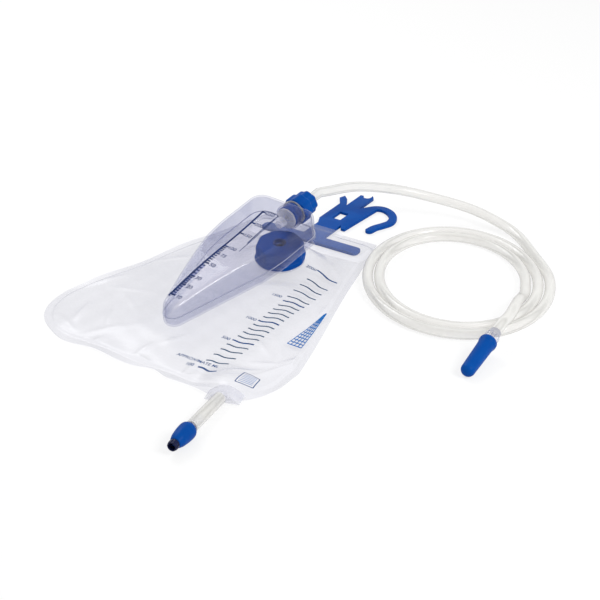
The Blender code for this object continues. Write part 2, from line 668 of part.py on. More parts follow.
def build_drain(bag):
    x, y = port_place()
    port = empty("port_frame", bag, (x, y, 0), (0, 0, PORT_TURN))
    skew = abs(PORT_TURN - DRAIN_TURN)
    tube_low = PORT_OUT / cos(skew) + DRAIN_TUBE_RADIUS * tan(skew) + GAP
    tube_high = tube_low + DRAIN_TUBE_LENGTH
    sleeve_low = tube_high + STEM_COLLAR + 2 * GAP
    widest = sleeve_low + SLEEVE_LENGTH / 4
    lift = asin((SLEEVE_RADIUS + SLEEVE_FROM_FLOOR - PORT_AXIS) / widest)
    drain = empty("drain_axis", port, (0, 0, PORT_AXIS), (pi / 2 - lift, 0, DRAIN_TURN - PORT_TURN))

    floor = FILM + GAP
    half = PORT_WIDTH / 2
    shape = bmesh.new()
    arch = [(u, max(PORT_HEIGHT * (1 - (u / half) ** 2), PORT_WING)) for u in np.linspace(half, -half, 13)]
    outline = [(-half, 0), (half, 0)] + arch
    near = [shape.verts.new((u, -PORT_OUT, floor + h)) for u, h in outline]
    far = [shape.verts.new((u, PORT_IN, floor + h)) for u, h in outline]
    shape.faces.new(near)
    shape.faces.new(list(reversed(far)))
    for i in range(len(near)):
        j = (i + 1) % len(near)
        shape.faces.new((near[j], near[i], far[i], far[j]))
    bmesh.ops.recalc_face_normals(shape, faces=shape.faces)
    boat = solid("outlet_port", shape, port, clear_plastic())
    bore = cylinder(PORT_BORE, -2 * PORT_IN, 2 * SPIGOT_LENGTH)
    boolean(boat, "UNION", solid("spigot", cylinder(SPIGOT_RADIUS, 0, SPIGOT_LENGTH), drain))
    boolean(boat, "DIFFERENCE", solid("port_bore", bore, drain))

    inside = DRAIN_TUBE_BORE
    outside = DRAIN_TUBE_RADIUS
    hose = [(inside, tube_low), (outside, tube_low), (outside, tube_high), (inside, tube_high)]
    solid("drain_tube", turned(hose), drain, milky_tube())

    collar = tube_high + GAP
    stem_end = sleeve_low + STEM_LENGTH
    groove = stem_end - GROOVE_FROM_END
    groove_half = VALVE_O_RING + GAP
    groove_radius = STEM_RADIUS - VALVE_O_RING
    stem = [
        (PORT_BORE, tube_high - STEM_BARB),
        (SPIGOT_RADIUS, tube_high - STEM_BARB),
        (SPIGOT_RADIUS, collar),
        (DRAIN_TUBE_RADIUS, collar),
        (DRAIN_TUBE_RADIUS, collar + STEM_COLLAR),
        (STEM_RADIUS, collar + STEM_COLLAR),
        (STEM_RADIUS, groove - groove_half),
        (groove_radius, groove - groove_half),
        (groove_radius, groove + groove_half),
        (STEM_RADIUS, groove + groove_half),
        (STEM_RADIUS, stem_end - CHAMFER),
        (STEM_RADIUS - CHAMFER, stem_end),
        (0, stem_end),
    ]
    blind_end = groove - 2 * groove_half
    blind = [(0, blind_end), (PORT_BORE, blind_end)]
    valve_stem = solid("valve_stem", turned(blind + stem), drain, clear_plastic())
    side_port = cylinder(STEM_SIDE_PORT, -2 * STEM_RADIUS, 2 * STEM_RADIUS, FINE // 2)
    bmesh.ops.rotate(side_port, verts=side_port.verts, matrix=Matrix.Rotation(pi / 2, 3, "Y"))
    bmesh.ops.translate(side_port, verts=side_port.verts, vec=(0, 0, blind_end - 2 * STEM_SIDE_PORT))
    boolean(valve_stem, "DIFFERENCE", solid("side_port", side_port, drain))

    half_ring = VALVE_O_RING / 2
    middle = groove_radius + GAP / 3 + half_ring
    turns = np.linspace(0, 2 * pi, 9)[:-1]
    ring = [(middle + half_ring * cos(turn), groove + VALVE_O_RING * sin(turn)) for turn in turns]
    solid("valve_o_ring", turned(ring), drain, pale_rubber())

    slide = empty("valve_slide", drain)
    low = sleeve_low
    high = low + SLEEVE_LENGTH
    bore = STEM_RADIUS + SLEEVE_CLEARANCE
    sleeve = [
        (bore, low),
        (0.64 * SLEEVE_RADIUS, low),
        (0.88 * SLEEVE_RADIUS, low + 0.06 * SLEEVE_LENGTH),
        (0.98 * SLEEVE_RADIUS, low + 0.15 * SLEEVE_LENGTH),
        (SLEEVE_RADIUS, widest),
        (0.96 * SLEEVE_RADIUS, low + 0.5 * SLEEVE_LENGTH),
        (0.83 * SLEEVE_RADIUS, low + 0.8 * SLEEVE_LENGTH),
        (0.67 * SLEEVE_RADIUS, low + 0.95 * SLEEVE_LENGTH),
        (NOZZLE_RADIUS, high),
        (NOZZLE_BORE, high),
        (NOZZLE_BORE, stem_end + 2 * CHAMFER),
        (bore, stem_end + CHAMFER),
    ]
    solid("valve_sleeve", turned(sleeve), slide, blue_plastic())
    start = high + GAP
    end = start + NOZZLE_LENGTH
    nozzle = [
        (NOZZLE_BORE, start),
        (NOZZLE_RADIUS, start),
        (NOZZLE_RADIUS, start + 2 * CHAMFER, NOZZLE_RIB),
        (NOZZLE_RADIUS, end - 1.5 * CHAMFER, NOZZLE_RIB),
        (NOZZLE_RADIUS - NOZZLE_RIB, end),
        (NOZZLE_BORE + NOZZLE_RIB / 2, end),
        (NOZZLE_BORE, end - CHAMFER),
    ]
    solid("valve_nozzle", turned(nozzle, NOZZLE_RIBS, 4 * NOZZLE_RIBS), slide, navy_plastic())


def coil_points():
    """Loose turns on the floor: an ellipse that loses one pitch with each turn, seen from above clockwise."""
    points = []
    steps = ceil(COIL_TURNS * COIL_STEPS)
    for i in range(steps + 1):
        turns = COIL_TURNS * i / steps
        angle = COIL_START - 2 * pi * turns
        u = (COIL_SEMI_AXES[0] - COIL_PITCH * turns) * cos(angle)
        v = (COIL_SEMI_AXES[1] - COIL_PITCH * turns) * sin(angle)
        x = COIL_MIDDLE[0] + u * cos(COIL_TILT) - v * sin(COIL_TILT)
        y = COIL_MIDDLE[1] + u * sin(COIL_TILT) + v * cos(COIL_TILT)
        points.append((x, y, TUBE_LOW))
    return points


def build_tube(bag, inlet, nose, end):
    bpy.context.view_layer.update()
    outlet = nose + TUBE_FROM_NOSE
    start = inlet.matrix_world @ Vector((0, 0, outlet))
    ahead = inlet.matrix_world @ Vector((0, 0, outlet + TUBE_STUB))
    behind = end.matrix_world @ Vector((0, 0, -TUBE_STUB))
    lead = [tuple(c * MM for c in point) for point in LEAD_IN]
    out = [tuple(c * MM for c in point) for point in LEAD_OUT]
    route = [tuple(ahead)] + lead + coil_points() + out + [tuple(behind)]
    curve = bpy.data.curves.new("inlet_tube", "CURVE")
    curve.dimensions = "3D"
    curve.bevel_depth = TUBE_RADIUS
    curve.bevel_resolution = 2
    curve.use_fill_caps = True
    line = curve.splines.new("POLY")
    points = [tuple(start)] + [tuple(p) for p in smooth_line(route, TUBE_STEPS)] + [TUBE_END]
    line.points.add(len(points) - 1)
    for place, point in zip(line.points, points):
        place.co = (*point, 1)
    curve.materials.append(milky_tube())
    tube = bpy.data.objects.new("inlet_tube", curve)
    bpy.context.scene.collection.objects.link(tube)
    tube.parent = bag


def build_connector(end):
    wide, narrow = CONNECTOR_TAPER_RADII
    low = GAP
    body = low + CONNECTOR_BODY
    taper = body + CONNECTOR_TAPER
    connector = [
        (CONNECTOR_BORE, low),
        (TUBE_RADIUS, low),
        (TUBE_RADIUS + CHAMFER / 2, low + 2 * CHAMFER),
        (TUBE_RADIUS + CHAMFER / 2, low + CONNECTOR_SLEEVE),
        (CONNECTOR_RADIUS, low + CONNECTOR_SLEEVE + CHAMFER),
        (CONNECTOR_RADIUS, body),
        (wide, body),
        (narrow, taper),
        (CONNECTOR_BORE, taper),
    ]
    solid("catheter_connector", turned(connector), end, clear_plastic())
    mouth = body + GAP
    close = mouth + END_CAP_LENGTH
    first, last = END_CAP_RADII
    cap = [
        (0, taper + 3 * CHAMFER),
        (narrow + GAP, taper + 2 * CHAMFER),
        (wide + GAP, mouth),
        (END_CAP_COLLAR_RADIUS - CHAMFER, mouth),
        (END_CAP_COLLAR_RADIUS, mouth + CHAMFER),
        (END_CAP_COLLAR_RADIUS, mouth + END_CAP_COLLAR - CHAMFER),
        (first, mouth + END_CAP_COLLAR + CHAMFER),
        (last, close - 0.75 * last),
        (0.82 * last, close - 0.3 * last),
        (0.5 * last, close - 0.1 * last),
        (0, close),
    ]
    solid("connector_cap", turned(cap), end, blue_plastic())


def centre_over_origin(bag):
    """Stand the bag on the floor with its own box centred, the tube and what is on it apart."""
    bpy.context.view_layer.update()
    graph = bpy.context.evaluated_depsgraph_get()
    corners = []
    for thing in bpy.context.scene.objects:
        on_tube = thing.name in ("inlet_tube", "catheter_connector", "connector_cap")
        if thing.type != "MESH" or thing.hide_render or on_tube:
            continue
        seen = thing.evaluated_get(graph)
        places = np.empty(len(seen.data.vertices) * 3)
        seen.data.vertices.foreach_get("co", places)
        turn = np.array(seen.matrix_world)
        corners.append(places.reshape(-1, 3) @ turn[:3, :3].T + turn[:3, 3])
    every = np.vstack(corners)
    low, high = every.min(axis=0), every.max(axis=0)
    bag.location = (-(low[0] + high[0]) / 2, -(low[1] + high[1]) / 2, -low[2])
    bpy.context.view_layer.update()


def build():
    for old in list(bpy.data.objects):
        bpy.data.objects.remove(old)
    bag = empty("bag_frame", None)
    lean = (CHAMBER_TILT, CHAMBER_ROLL, CHAMBER_TURN)
    swivel = empty("chamber_swivel", bag, SWIVEL_AT, lean, "YXZ")
    seat = empty("chamber_seat", bag, SWIVEL_AT, lean, "YXZ")
    at = (NECK_FROM_MIDDLE - SWIVEL_FROM_MIDDLE, CHAMBER_LENGTH - SWIVEL_FROM_TIP, NECK_HEIGHT)
    inlet = empty("inlet_axis", swivel, at, (-pi / 2, 0, 0))
    film = build_bag(bag)
    build_hanger(bag)
    build_chamber(swivel, inlet)
    build_coupling(bag, swivel, seat, film)
    nose = build_inlet(inlet)
    build_drain(bag)
    end = empty("connector_axis", bag, TUBE_END, (pi / 2 + CONNECTOR_FALL, 0, CONNECTOR_TURN))
    build_tube(bag, inlet, nose, end)
    build_connector(end)
    centre_over_origin(bag)


build()
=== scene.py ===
"""Looks of the urine drainage bag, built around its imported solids.

Metres, +Z up. Places on the bag are written in millimetres from the middle of the
bag's top edge: X across the bag, Y up towards the hanger, Z up from the floor.
"""

import json

import bmesh
import bpy
import numpy as np
from mathutils import Euler, Matrix, Vector


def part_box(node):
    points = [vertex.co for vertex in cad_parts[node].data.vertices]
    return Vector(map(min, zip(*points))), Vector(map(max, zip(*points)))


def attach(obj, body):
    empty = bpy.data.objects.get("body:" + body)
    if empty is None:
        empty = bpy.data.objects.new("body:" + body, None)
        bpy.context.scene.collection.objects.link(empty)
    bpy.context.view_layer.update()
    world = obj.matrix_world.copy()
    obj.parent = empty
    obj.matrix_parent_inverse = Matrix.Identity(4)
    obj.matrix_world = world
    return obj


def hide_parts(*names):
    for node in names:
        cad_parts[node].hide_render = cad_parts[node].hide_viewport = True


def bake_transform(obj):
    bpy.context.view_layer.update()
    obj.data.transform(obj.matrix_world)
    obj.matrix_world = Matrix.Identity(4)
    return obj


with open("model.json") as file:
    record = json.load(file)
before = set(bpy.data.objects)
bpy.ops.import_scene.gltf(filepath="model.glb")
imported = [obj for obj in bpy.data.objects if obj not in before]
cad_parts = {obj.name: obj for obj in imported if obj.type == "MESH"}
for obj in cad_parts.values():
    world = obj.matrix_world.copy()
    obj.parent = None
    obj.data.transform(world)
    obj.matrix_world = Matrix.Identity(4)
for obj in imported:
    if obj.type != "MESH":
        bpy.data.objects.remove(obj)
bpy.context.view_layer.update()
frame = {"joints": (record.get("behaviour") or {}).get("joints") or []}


# Camera: a longish lens from the bag's lower right, 30 degrees above the floor and
# 33 degrees round from the bag's long line.
mm = 0.001
bag_place = Matrix.Translation((0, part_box("bag_back_film")[1][1], 0))


def placed(points, place):
    """Points in millimetres, turned and moved by a place matrix that is in metres."""
    turn = np.array(place)
    return np.asarray(points, float) * mm @ turn[:3, :3].T + turn[:3, 3]


camera_at = (581.8, -933.9, 550.9)
camera_aim = (62.1, -133.6, 0)
camera = bpy.data.objects.new("camera", bpy.data.cameras.new("camera"))
bpy.context.scene.collection.objects.link(camera)
bpy.context.scene.camera = camera
camera.data.sensor_width = 36
camera.data.lens = 71.4
camera.location = placed(camera_at, bag_place)
sight = Vector(placed(camera_aim, bag_place)) - camera.location
camera.rotation_euler = sight.to_track_quat("-Z", "Y").to_euler()


# Inlet tube: extruded flexible PVC, 10 mm across and about 7 mm inside, milky and
# faintly warm. It leaves the blue cap, comes down to the floor and lies in loose turns.
def quads(points, rows_close=False, columns_close=False):
    """A grid of points and the four-sided faces between neighbours, closed where asked."""
    rows, columns = points.shape[:2]
    index = np.arange(rows * columns).reshape(rows, columns)
    if rows_close:
        index = np.vstack([index, index[:1]])
    if columns_close:
        index = np.hstack([index, index[:, :1]])
    faces = np.stack([index[:-1, :-1], index[:-1, 1:], index[1:, 1:], index[1:, :-1]], axis=-1)
    return points.reshape(-1, 3), faces.reshape(-1, 4)


def joined(name, grids):
    """One mesh from grids in metres, each given as its points and faces."""
    starts = np.cumsum([0] + [len(points) for points, faces in grids])
    every = np.vstack([points for points, faces in grids])
    faces = [face for (_, part), start in zip(grids, starts) for face in (part + start).tolist()]
    mesh = bpy.data.meshes.new(name)
    mesh.from_pydata(every.tolist(), [], faces)
    return mesh


def cleaned(mesh, sharp=40):
    """The mesh with doubles merged and faces outwards, smooth up to the sharp angle."""
    shape = bmesh.new()
    shape.from_mesh(mesh)
    bmesh.ops.remove_doubles(shape, verts=shape.verts, dist=2e-6)
    bmesh.ops.dissolve_degenerate(shape, edges=shape.edges, dist=1e-7)
    bmesh.ops.recalc_face_normals(shape, faces=shape.faces)
    shape.to_mesh(mesh)
    shape.free()
    mesh.shade_smooth()
    mesh.set_sharp_from_angle(angle=np.radians(sharp))
    return mesh


def mesh_of(name, *grids, sharp=40):
    """A cleaned mesh from one grid or several."""
    return cleaned(joined(name, grids), sharp)


def put(mesh, finish, body, slot, *nodes):
    """The mesh as a piece that moves with a body and stands for the CAD nodes named."""
    made = bpy.data.objects.new(mesh.name, mesh)
    bpy.context.scene.collection.objects.link(made)
    mesh.materials.append(finish)
    if body:
        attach(made, body)
    if nodes:
        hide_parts(*nodes)
    return made


def linear(code):
    """An sRGB hex colour as linear red, green and blue, with alpha 1."""
    share = np.array([int(code[i : i + 2], 16) for i in (1, 3, 5)]) / 255
    bright = ((share + 0.055) / 1.055) ** 2.4
    return (*np.where(share <= 0.04045, share / 12.92, bright).tolist(), 1)


def add(tree, kind, inputs=None, **settings):
    """Adds a node. inputs gives each socket its value, or the socket that feeds it."""
    made = tree.nodes.new("ShaderNode" + kind)
    for name, value in settings.items():
        setattr(made, name, value)
    for name, value in (inputs or {}).items():
        if isinstance(value, bpy.types.NodeSocket):
            tree.links.new(value, made.inputs[name])
        else:
            made.inputs[name].default_value = value
    return made


def new_material(name):
    """A node material with nothing in it, and its tree."""
    made = bpy.data.materials.new(name)
    made.use_nodes = True
    made.node_tree.nodes.clear()
    return made, made.node_tree


def set_stops(node, *stops):
    """Gives a colour ramp its stops from left to right, each a place and an sRGB hex colour."""
    ramp = node.color_ramp.elements
    for end, (place, code) in enumerate((stops[0], stops[-1])):
        ramp[end].position = place
        ramp[end].color = linear(code)
    for place, code in stops[1:-1]:
        ramp.new(place).color = linear(code)


def glossy_skin(tree, inside, ior, roughness, **bumped):
    """Gloss over a clear wall, on outer faces only: its share is Fresnel less Backfacing."""
    skin = add(tree, "Fresnel", {"IOR": ior, **bumped})
    facts = add(tree, "NewGeometry")
    inputs = {0: skin.outputs[0], 1: facts.outputs["Backfacing"]}
    outer = add(tree, "Math", inputs, operation="SUBTRACT", use_clamp=True)
    glint = add(tree, "BsdfGlossy", {"Roughness": roughness, **bumped})
    inputs = {0: outer.outputs[0], 1: inside.outputs[0], 2: glint.outputs[0]}
    add(tree, "OutputMaterial", {"Surface": add(tree, "MixShader", inputs).outputs[0]})


def catmull_rom(points, count):
    """count points at equal steps on a curve through points, a cubic of four neighbours each."""
    given = np.array(points, float)
    p = np.vstack([2 * given[0] - given[1], given, 2 * given[-1] - given[-2]])
    t = np.linspace(0, 1, 24, endpoint=False)[None, :, None]
    a, b, c, d = (p[k : len(p) - 3 + k, None, :] for k in range(4))
    square = 2 * a - 5 * b + 4 * c - d
    cube = 3 * b - a - 3 * c + d
    fine = 0.5 * (2 * b + (c - a) * t + square * t**2 + cube * t**3)
    fine = np.vstack([fine.reshape(-1, given.shape[1]), given[-1:]])
    run = np.concatenate([[0], np.cumsum(np.linalg.norm(np.diff(fine, axis=0), axis=1))])
    wanted = np.linspace(0, run[-1], count)
    return np.stack([np.interp(wanted, run, axis) for axis in fine.T], axis=1)


def swept(path, radius, sides):
    """A round section carried along a path that is never upright, each end closed to a point."""
    along = np.gradient(path, axis=0)
    along /= np.linalg.norm(along, axis=1)[:, None]
    side = np.cross(along, [0, 0, 1])
    side /= np.linalg.norm(side, axis=1)[:, None]
    up = np.cross(side, along)
    angle = np.linspace(0, 2 * np.pi, sides, endpoint=False)[:, None]
    around = side[:, None] * np.cos(angle) + up[:, None] * np.sin(angle)
    first = np.repeat(path[None, :1], sides, axis=1)
    last = np.repeat(path[None, -1:], sides, axis=1)
    return quads(np.vstack([first, path[:, None] + radius * around, last]), columns_close=True)


swivel = next(joint for joint in frame["joints"] if joint["name"] == "chamber_swivel")
chamber_lean = Euler(np.radians((7, 3, -2.5)), "YXZ").to_matrix().to_4x4()
swivel_place = Matrix.Translation(swivel["pos_m"]) @ chamber_lean
neck_at = Matrix.Translation((-3 * mm, 23.5 * mm, 17 * mm))
neck_place = swivel_place @ neck_at @ Matrix.Rotation(-np.pi / 2, 4, "X")

tube_radius = 5
tube_stub = 14  # straight at each end
tube_start = 33.4  # from the chamber's end wall, just past the cap's nose
tube_end = (247.5, -110, 15.3)
end_fall, end_turn = np.radians(9.2), np.radians(1)  # below level, and off the bag's line
end_lean = Euler((np.pi / 2 + end_fall, 0, end_turn)).to_matrix().to_4x4()
connector_place = Matrix.Translation(placed(tube_end, bag_place)) @ end_lean

lead_in = [
    (17.5, -13.5, 53), (31, 21, 48), (55, 59, 36), (87, 83.5, 25),
    (124.5, 97.5, 16), (160, 95.5, 9), (184, 84, 6.2),
]
lead_out = [(237.2, -30, 7.6), (240.5, -46, 13), (244, -63, 15.7), (246.5, -80, 15.7)]
coil_middle, coil_height = (167, -25), 5.2
coil_reach_u, coil_reach_v = 89.5, 106
coil_turns, coil_pitch = 2.115, 11.2  # each turn lies inside the one before, just clear of it
coil_start, tilt = np.radians(25), np.radians(31)
turn = np.linspace(0, coil_turns, 33)
coil_angle = coil_start - 2 * np.pi * turn
coil_u = (coil_reach_u - coil_pitch * turn) * np.cos(coil_angle)
coil_v = (coil_reach_v - coil_pitch * turn) * np.sin(coil_angle)
coil_x = coil_middle[0] + coil_u * np.cos(tilt) - coil_v * np.sin(tilt)
coil_y = coil_middle[1] + coil_u * np.sin(tilt) + coil_v * np.cos(tilt)
coil = np.stack([coil_x, coil_y, np.full(len(turn), coil_height)], axis=1)

tube_from = placed((0, 0, tube_start), neck_place)
tube_route = np.vstack([
    placed((0, 0, tube_start + tube_stub), neck_place), placed(lead_in, bag_place),
    placed(coil, bag_place), placed(lead_out, bag_place),
    placed((0, 0, -tube_stub), connector_place),
])
tube_path = np.vstack([tube_from, catmull_rom(tube_route, 420), placed(tube_end, bag_place)])

# Milky PVC: most light comes back from the wall, clouded every 17 mm, and some passes.
# The ramp over the facing angle paints shade: a soft grey line near each edge where the bore inside
# would show through, and a darker rim.
milky_pvc, tree = new_material("milky_flexible_pvc_extruded")
facing = add(tree, "LayerWeight", {"Blend": 0.5})
wall = add(tree, "ValToRGB", {"Fac": facing.outputs["Facing"]})
set_stops(
    wall, (0, "#F7F6F5"), (0.28, "#F8F8F7"), (0.4, "#D9D9D7"), (0.52, "#F4F4F2"),
    (0.78, "#E5E4E2"), (1, "#B9B8B6"),
)
spot = add(tree, "TexCoord")
cloud = add(tree, "TexNoise", {"Vector": spot.outputs["Object"], "Scale": 60, "Detail": 3})
tone = add(tree, "MapRange", {"Value": cloud.outputs["Fac"], "To Min": 0.93, "To Max": 1.04})
clouded = {0: wall.outputs["Color"], 1: tone.outputs[0]}
toned = add(tree, "VectorMath", clouded, operation="MULTIPLY")
body = add(tree, "BsdfPrincipled", {
    "Base Color": toned.outputs[0], "Roughness": 0.6, "Specular IOR Level": 0,
})
passing = add(tree, "BsdfTranslucent", {"Color": toned.outputs[0]})
milk = add(tree, "MixShader", {0: 0.35, 1: body.outputs[0], 2: passing.outputs[0]})
through = add(tree, "BsdfTransparent", {"Color": linear("#FDFCFA")})
share = add(tree, "MapRange", {"Value": facing.outputs["Facing"], "To Min": 0.5, "To Max": 0.92})
mixed = add(tree, "MixShader", {0: share.outputs[0], 1: through.outputs[0], 2: milk.outputs[0]})
glossy_skin(tree, mixed, 1.45, 0.18)

inlet_mesh = mesh_of("inlet_tube_milky", swept(tube_path, tube_radius * mm, 24))
inlet_tube = put(inlet_mesh, milky_pvc, None, "tube", "inlet_tube")
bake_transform(inlet_tube)


# Connector and its cap: a stepped fitting of clear styrene glued on the tube's end,
# and a pull-off cap of injection-moulded blue polypropylene with a thicker mouth.
def filleted(profile, radius):
    """Corners rounded by a parabola from the radius along each side, or 45% of a short one."""
    corners = np.array([(*point, 0)[:3] for point in profile], float)
    before = np.roll(corners, 1, axis=0) - corners
    after = np.roll(corners, -1, axis=0) - corners
    if profile[0][0] == 0:
        before[0] = after[-1] = 0
    t = np.linspace(0, 1, 5)[None, :, None]
    ends = []
    for side in (before, after):
        length = np.linalg.norm(side, axis=1)[:, None]
        reach = np.minimum(radius, 0.45 * length) / np.maximum(length, 1e-9)
        ends.append((corners + side * reach)[:, None])
    rounded = (1 - t) ** 2 * ends[0] + 2 * t * (1 - t) * corners[:, None] + t**2 * ends[1]
    return rounded.reshape(-1, 3)


def turned(profile, place, rounding=0.4, lobes=0, sides=72):
    """A profile of (radius, height, flute depth) in mm turned about Z.

    At angle a the radius is less by half the flute depth times 1 - cos(lobes a). The
    profile is closed on itself, or runs from the axis to the axis.
    """
    ring = filleted(profile, rounding)
    angle = np.linspace(0, 2 * np.pi, sides, endpoint=False)
    radius = np.maximum(ring[:, :1] - ring[:, 2:] * (1 - np.cos(lobes * angle)) / 2, 0)
    height = np.repeat(ring[:, 1:2], sides, axis=1)
    points = np.stack([radius * np.cos(angle), radius * np.sin(angle), height], axis=-1)
    return quads(placed(points, place), rows_close=profile[0][0] != 0, columns_close=True)


def mottled(tree, scale, detail, *stops, **more):
    """Noise of a scale per metre and the ramp that turns it into tones of one colour."""
    spot = add(tree, "TexCoord")
    noise = add(tree, "TexNoise", {
        "Vector": spot.outputs["Object"], "Scale": scale, "Detail": detail, **more,
    })
    tones = add(tree, "ValToRGB", {"Fac": noise.outputs["Fac"]})
    set_stops(tones, *stops)
    return noise, tones


# Clear injection-moulded styrene: it lets the light through nearly clear face on, with painted
# shade that darkens it to lavender grey in the steep walls and where the surface turns away,
# standing in for the dark surroundings seen in them. Sharp glints come from its edges and walls and
# weaker ones from its flat faces. Its haze is clouded every 29 mm.
clear_styrene, tree = new_material("clear_styrene_injection_moulded")
facing = add(tree, "LayerWeight", {"Blend": 0.5})
# Painted shade: the light let through turns lavender grey towards the grazing rim.
painted_rim_shade = add(tree, "ValToRGB", {"Fac": facing.outputs["Facing"]})
set_stops(
    painted_rim_shade, (0, "#FBFBFC"), (0.55, "#F8F8FB"), (0.75, "#F3F4F8"), (0.9, "#DBDDE7"), (1, "#8B90AB")
)
facts = add(tree, "NewGeometry")
upright = add(tree, "SeparateXYZ", {"Vector": facts.outputs["Normal"]})
level = add(tree, "Math", {0: upright.outputs["Z"]}, operation="ABSOLUTE")
# Painted shade: steep walls let through a little greyer light than flat faces.
painted_steep_shade = add(tree, "ValToRGB", {"Fac": level.outputs[0]})
set_stops(painted_steep_shade, (0.1, "#F2F3F7"), (0.8, "#FDFDFE"))
painted_shades = {0: painted_rim_shade.outputs["Color"], 1: painted_steep_shade.outputs["Color"]}
passed = add(tree, "VectorMath", painted_shades, operation="MULTIPLY")
_, tint = mottled(tree, 35, 2, (0, "#C9CBE0"), (1, "#DDDEEC"))
share = add(tree, "MapRange", {
    "Value": facing.outputs["Facing"], "From Min": 0.5, "From Max": 1.0,
    "To Min": 0.008, "To Max": 0.35,
})
through = add(tree, "BsdfTransparent", {"Color": passed.outputs[0]})
body = add(tree, "BsdfPrincipled", {
    "Base Color": tint.outputs["Color"], "Roughness": 0.6, "Specular IOR Level": 0,
})
mixed = add(tree, "MixShader", {0: share.outputs[0], 1: through.outputs[0], 2: body.outputs[0]})
edge = add(tree, "MapRange", {
    "Value": level.outputs[0], "From Min": 0.8, "From Max": 0.95, "To Min": 1.5, "To Max": 1.2,
})
glossy_skin(tree, mixed, edge.outputs[0], 0.08)

# Blue injection-moulded polypropylene: saturated, with a slightly soft sheen, faint flow
# marks every 22 mm and the mould's fine grain of 0.4 mm.
blue_pp, tree = new_material("blue_polypropylene_injection_moulded")
flow, hue = mottled(tree, 45, 4, (0.3, "#034190"), (0.7, "#054C9D"), Distortion=0.6)
spot = add(tree, "TexCoord")
gloss = add(tree, "MapRange", {"Value": flow.outputs["Fac"], "To Min": 0.3, "To Max": 0.42})
grain = add(tree, "TexNoise", {"Vector": spot.outputs["Object"], "Scale": 2600, "Detail": 2})
bump = add(tree, "Bump", {"Height": grain.outputs["Fac"], "Strength": 0.12, "Distance": 0.0001})
body = add(tree, "BsdfPrincipled", {
    "Base Color": hue.outputs["Color"], "Roughness": gloss.outputs[0], "IOR": 1.45,
    "Specular IOR Level": 0.05, "Normal": bump.outputs["Normal"],
})
add(tree, "OutputMaterial", {"Surface": body.outputs[0]})

connector = [
    (2, 0.3), (5, 0.3), (5.5, 2.3), (5.5, 6.3), (6.8, 7.3), (6.8, 8.8), (6.1, 9.3), (6.1, 10.4),
    (6.8, 10.9), (6.8, 13.3), (4.5, 13.3), (3.2, 41.3), (2, 41.3),
]
connector_mesh = mesh_of("clear_connector", turned(connector, connector_place))
put(connector_mesh, clear_styrene, "bag", "clear_moulding", "catheter_connector")
quarter = np.linspace(np.pi / 2, 0, 10)
dome = np.stack([6.3 * np.sin(quarter), 54.8 + 5.8 * np.cos(quarter)], axis=1)
end_cap = [
    (0, 44.3), (3.5, 43.3), (4.8, 13.6), (7.2, 13.6), (8, 14.8), (8, 18), (7.4, 20), (7.1, 23.5),
    *dome.tolist(),
]
end_cap_mesh = mesh_of("blue_connector_cap", turned(end_cap, connector_place, 0.6))
put(end_cap_mesh, blue_pp, "cap", "blue_moulding", "connector_cap")


# Bag: two films of soft clear PVC welded round the edge and across under the hanger,
# nearly empty, so that the front film lies in shallow creases and lifts over what is inside.
bag_length, flare_length = 304, 240
top_half, bottom_half = 67, 130
left_corner, right_corner = 58, 44  # the left one lies curled in
weld_width, film_layers = 6, 1.2
air_height, air_start = 5.5, 45
hanger_x, stem_half, bar_half, bar_top, bar_bottom = 5, 12, 57, -20, -33.5
pocket_lift, port_lift, port_spread = 3.5, 9.8, 36
port_turn = np.radians(16)  # where on the corner's arc the port sits
port_x = bottom_half - right_corner + right_corner * np.sin(port_turn)
port_y = right_corner - bag_length - right_corner * np.cos(port_turn)
curl_height, curl_fade = 2.4, 16


def ease(t):
    """0 to 1 with no corner at either end: 3t^2 - 2t^3, with t held between 0 and 1."""
    t = np.clip(t, 0, 1)
    return t * t * (3 - 2 * t)


def half_width(y, corner):
    """Half the bag's width: it spreads evenly, then ends in a quarter circle at the corner."""
    into_corner = np.clip(-y - bag_length + corner, 0, corner)
    spread = top_half + (bottom_half - top_half) * np.clip(-y / flare_length, 0, 1)
    return spread + np.sqrt(corner**2 - into_corner**2) - corner


def from_edge(x, y):
    """Distance to the bag's edge: radial in the bottom corners, else to the side, bottom or top."""
    corner = np.where(x < 0, left_corner, right_corner)
    flare = bottom_half - top_half
    to_side = top_half + flare * np.clip(-y / flare_length, 0, 1) - abs(x)
    side = to_side * np.cos(np.arctan(flare / flare_length))
    plain = np.minimum(np.minimum(side, y + bag_length), -y)
    radial = corner - np.hypot(abs(x) - bottom_half + corner, y + bag_length - corner)
    in_corner = (abs(x) > bottom_half - corner) & (y < corner - bag_length)
    return np.maximum(np.where(in_corner, radial, plain), 0)


creases = np.array([  # from (x, y) to (x, y), height and half width in mm
    (-67, -247, -52, -272, 1.1, 2.4), (-46, -303, -43, -288, 1.4, 2.4),
    (1, -273, -1, -292, 1.3, 2.2), (-1, -292, 22, -299, 1.5, 2.2),
    (51, -303, 59, -290, 1.3, 2.4), (87, -253, 110, -240, 1.1, 2.0),
    (110, -240, 124, -215, 1.2, 2.0), (79, -279, 103, -256, 1.2, 2.4),
    (73, -218, 95, -233, 0.9, 2.2), (84, -204, 104, -229, 1.0, 2.0),
    (50, -273, 52, -302, 1.1, 2.4), (104, -265, 124, -223, 1.3, 2.6),
    (112, -194, 121, -238, 1.3, 2.4), (-75, -219, -44, -240, 0.9, 3.0),
    (-93, -251, -86, -275, 1.4, 2.6), (-103, -278, -73, -291, 1.5, 2.6),
    (9, -267, 17, -251, 0.9, 2.4), (96, -157, 93, -134, 1.0, 2.4),
    (-60, -120, -95, -150, 0.9, 3.4), (-52, -70, -70, -100, 0.9, 3.0),
    (48, -60, 70, -82, 1.0, 2.6), (-100, -190, -118, -225, 1.2, 3.0),
    (-30, -255, -60, -290, 1.1, 3.4), (-95, -215, -60, -205, 0.8, 3.4),
])


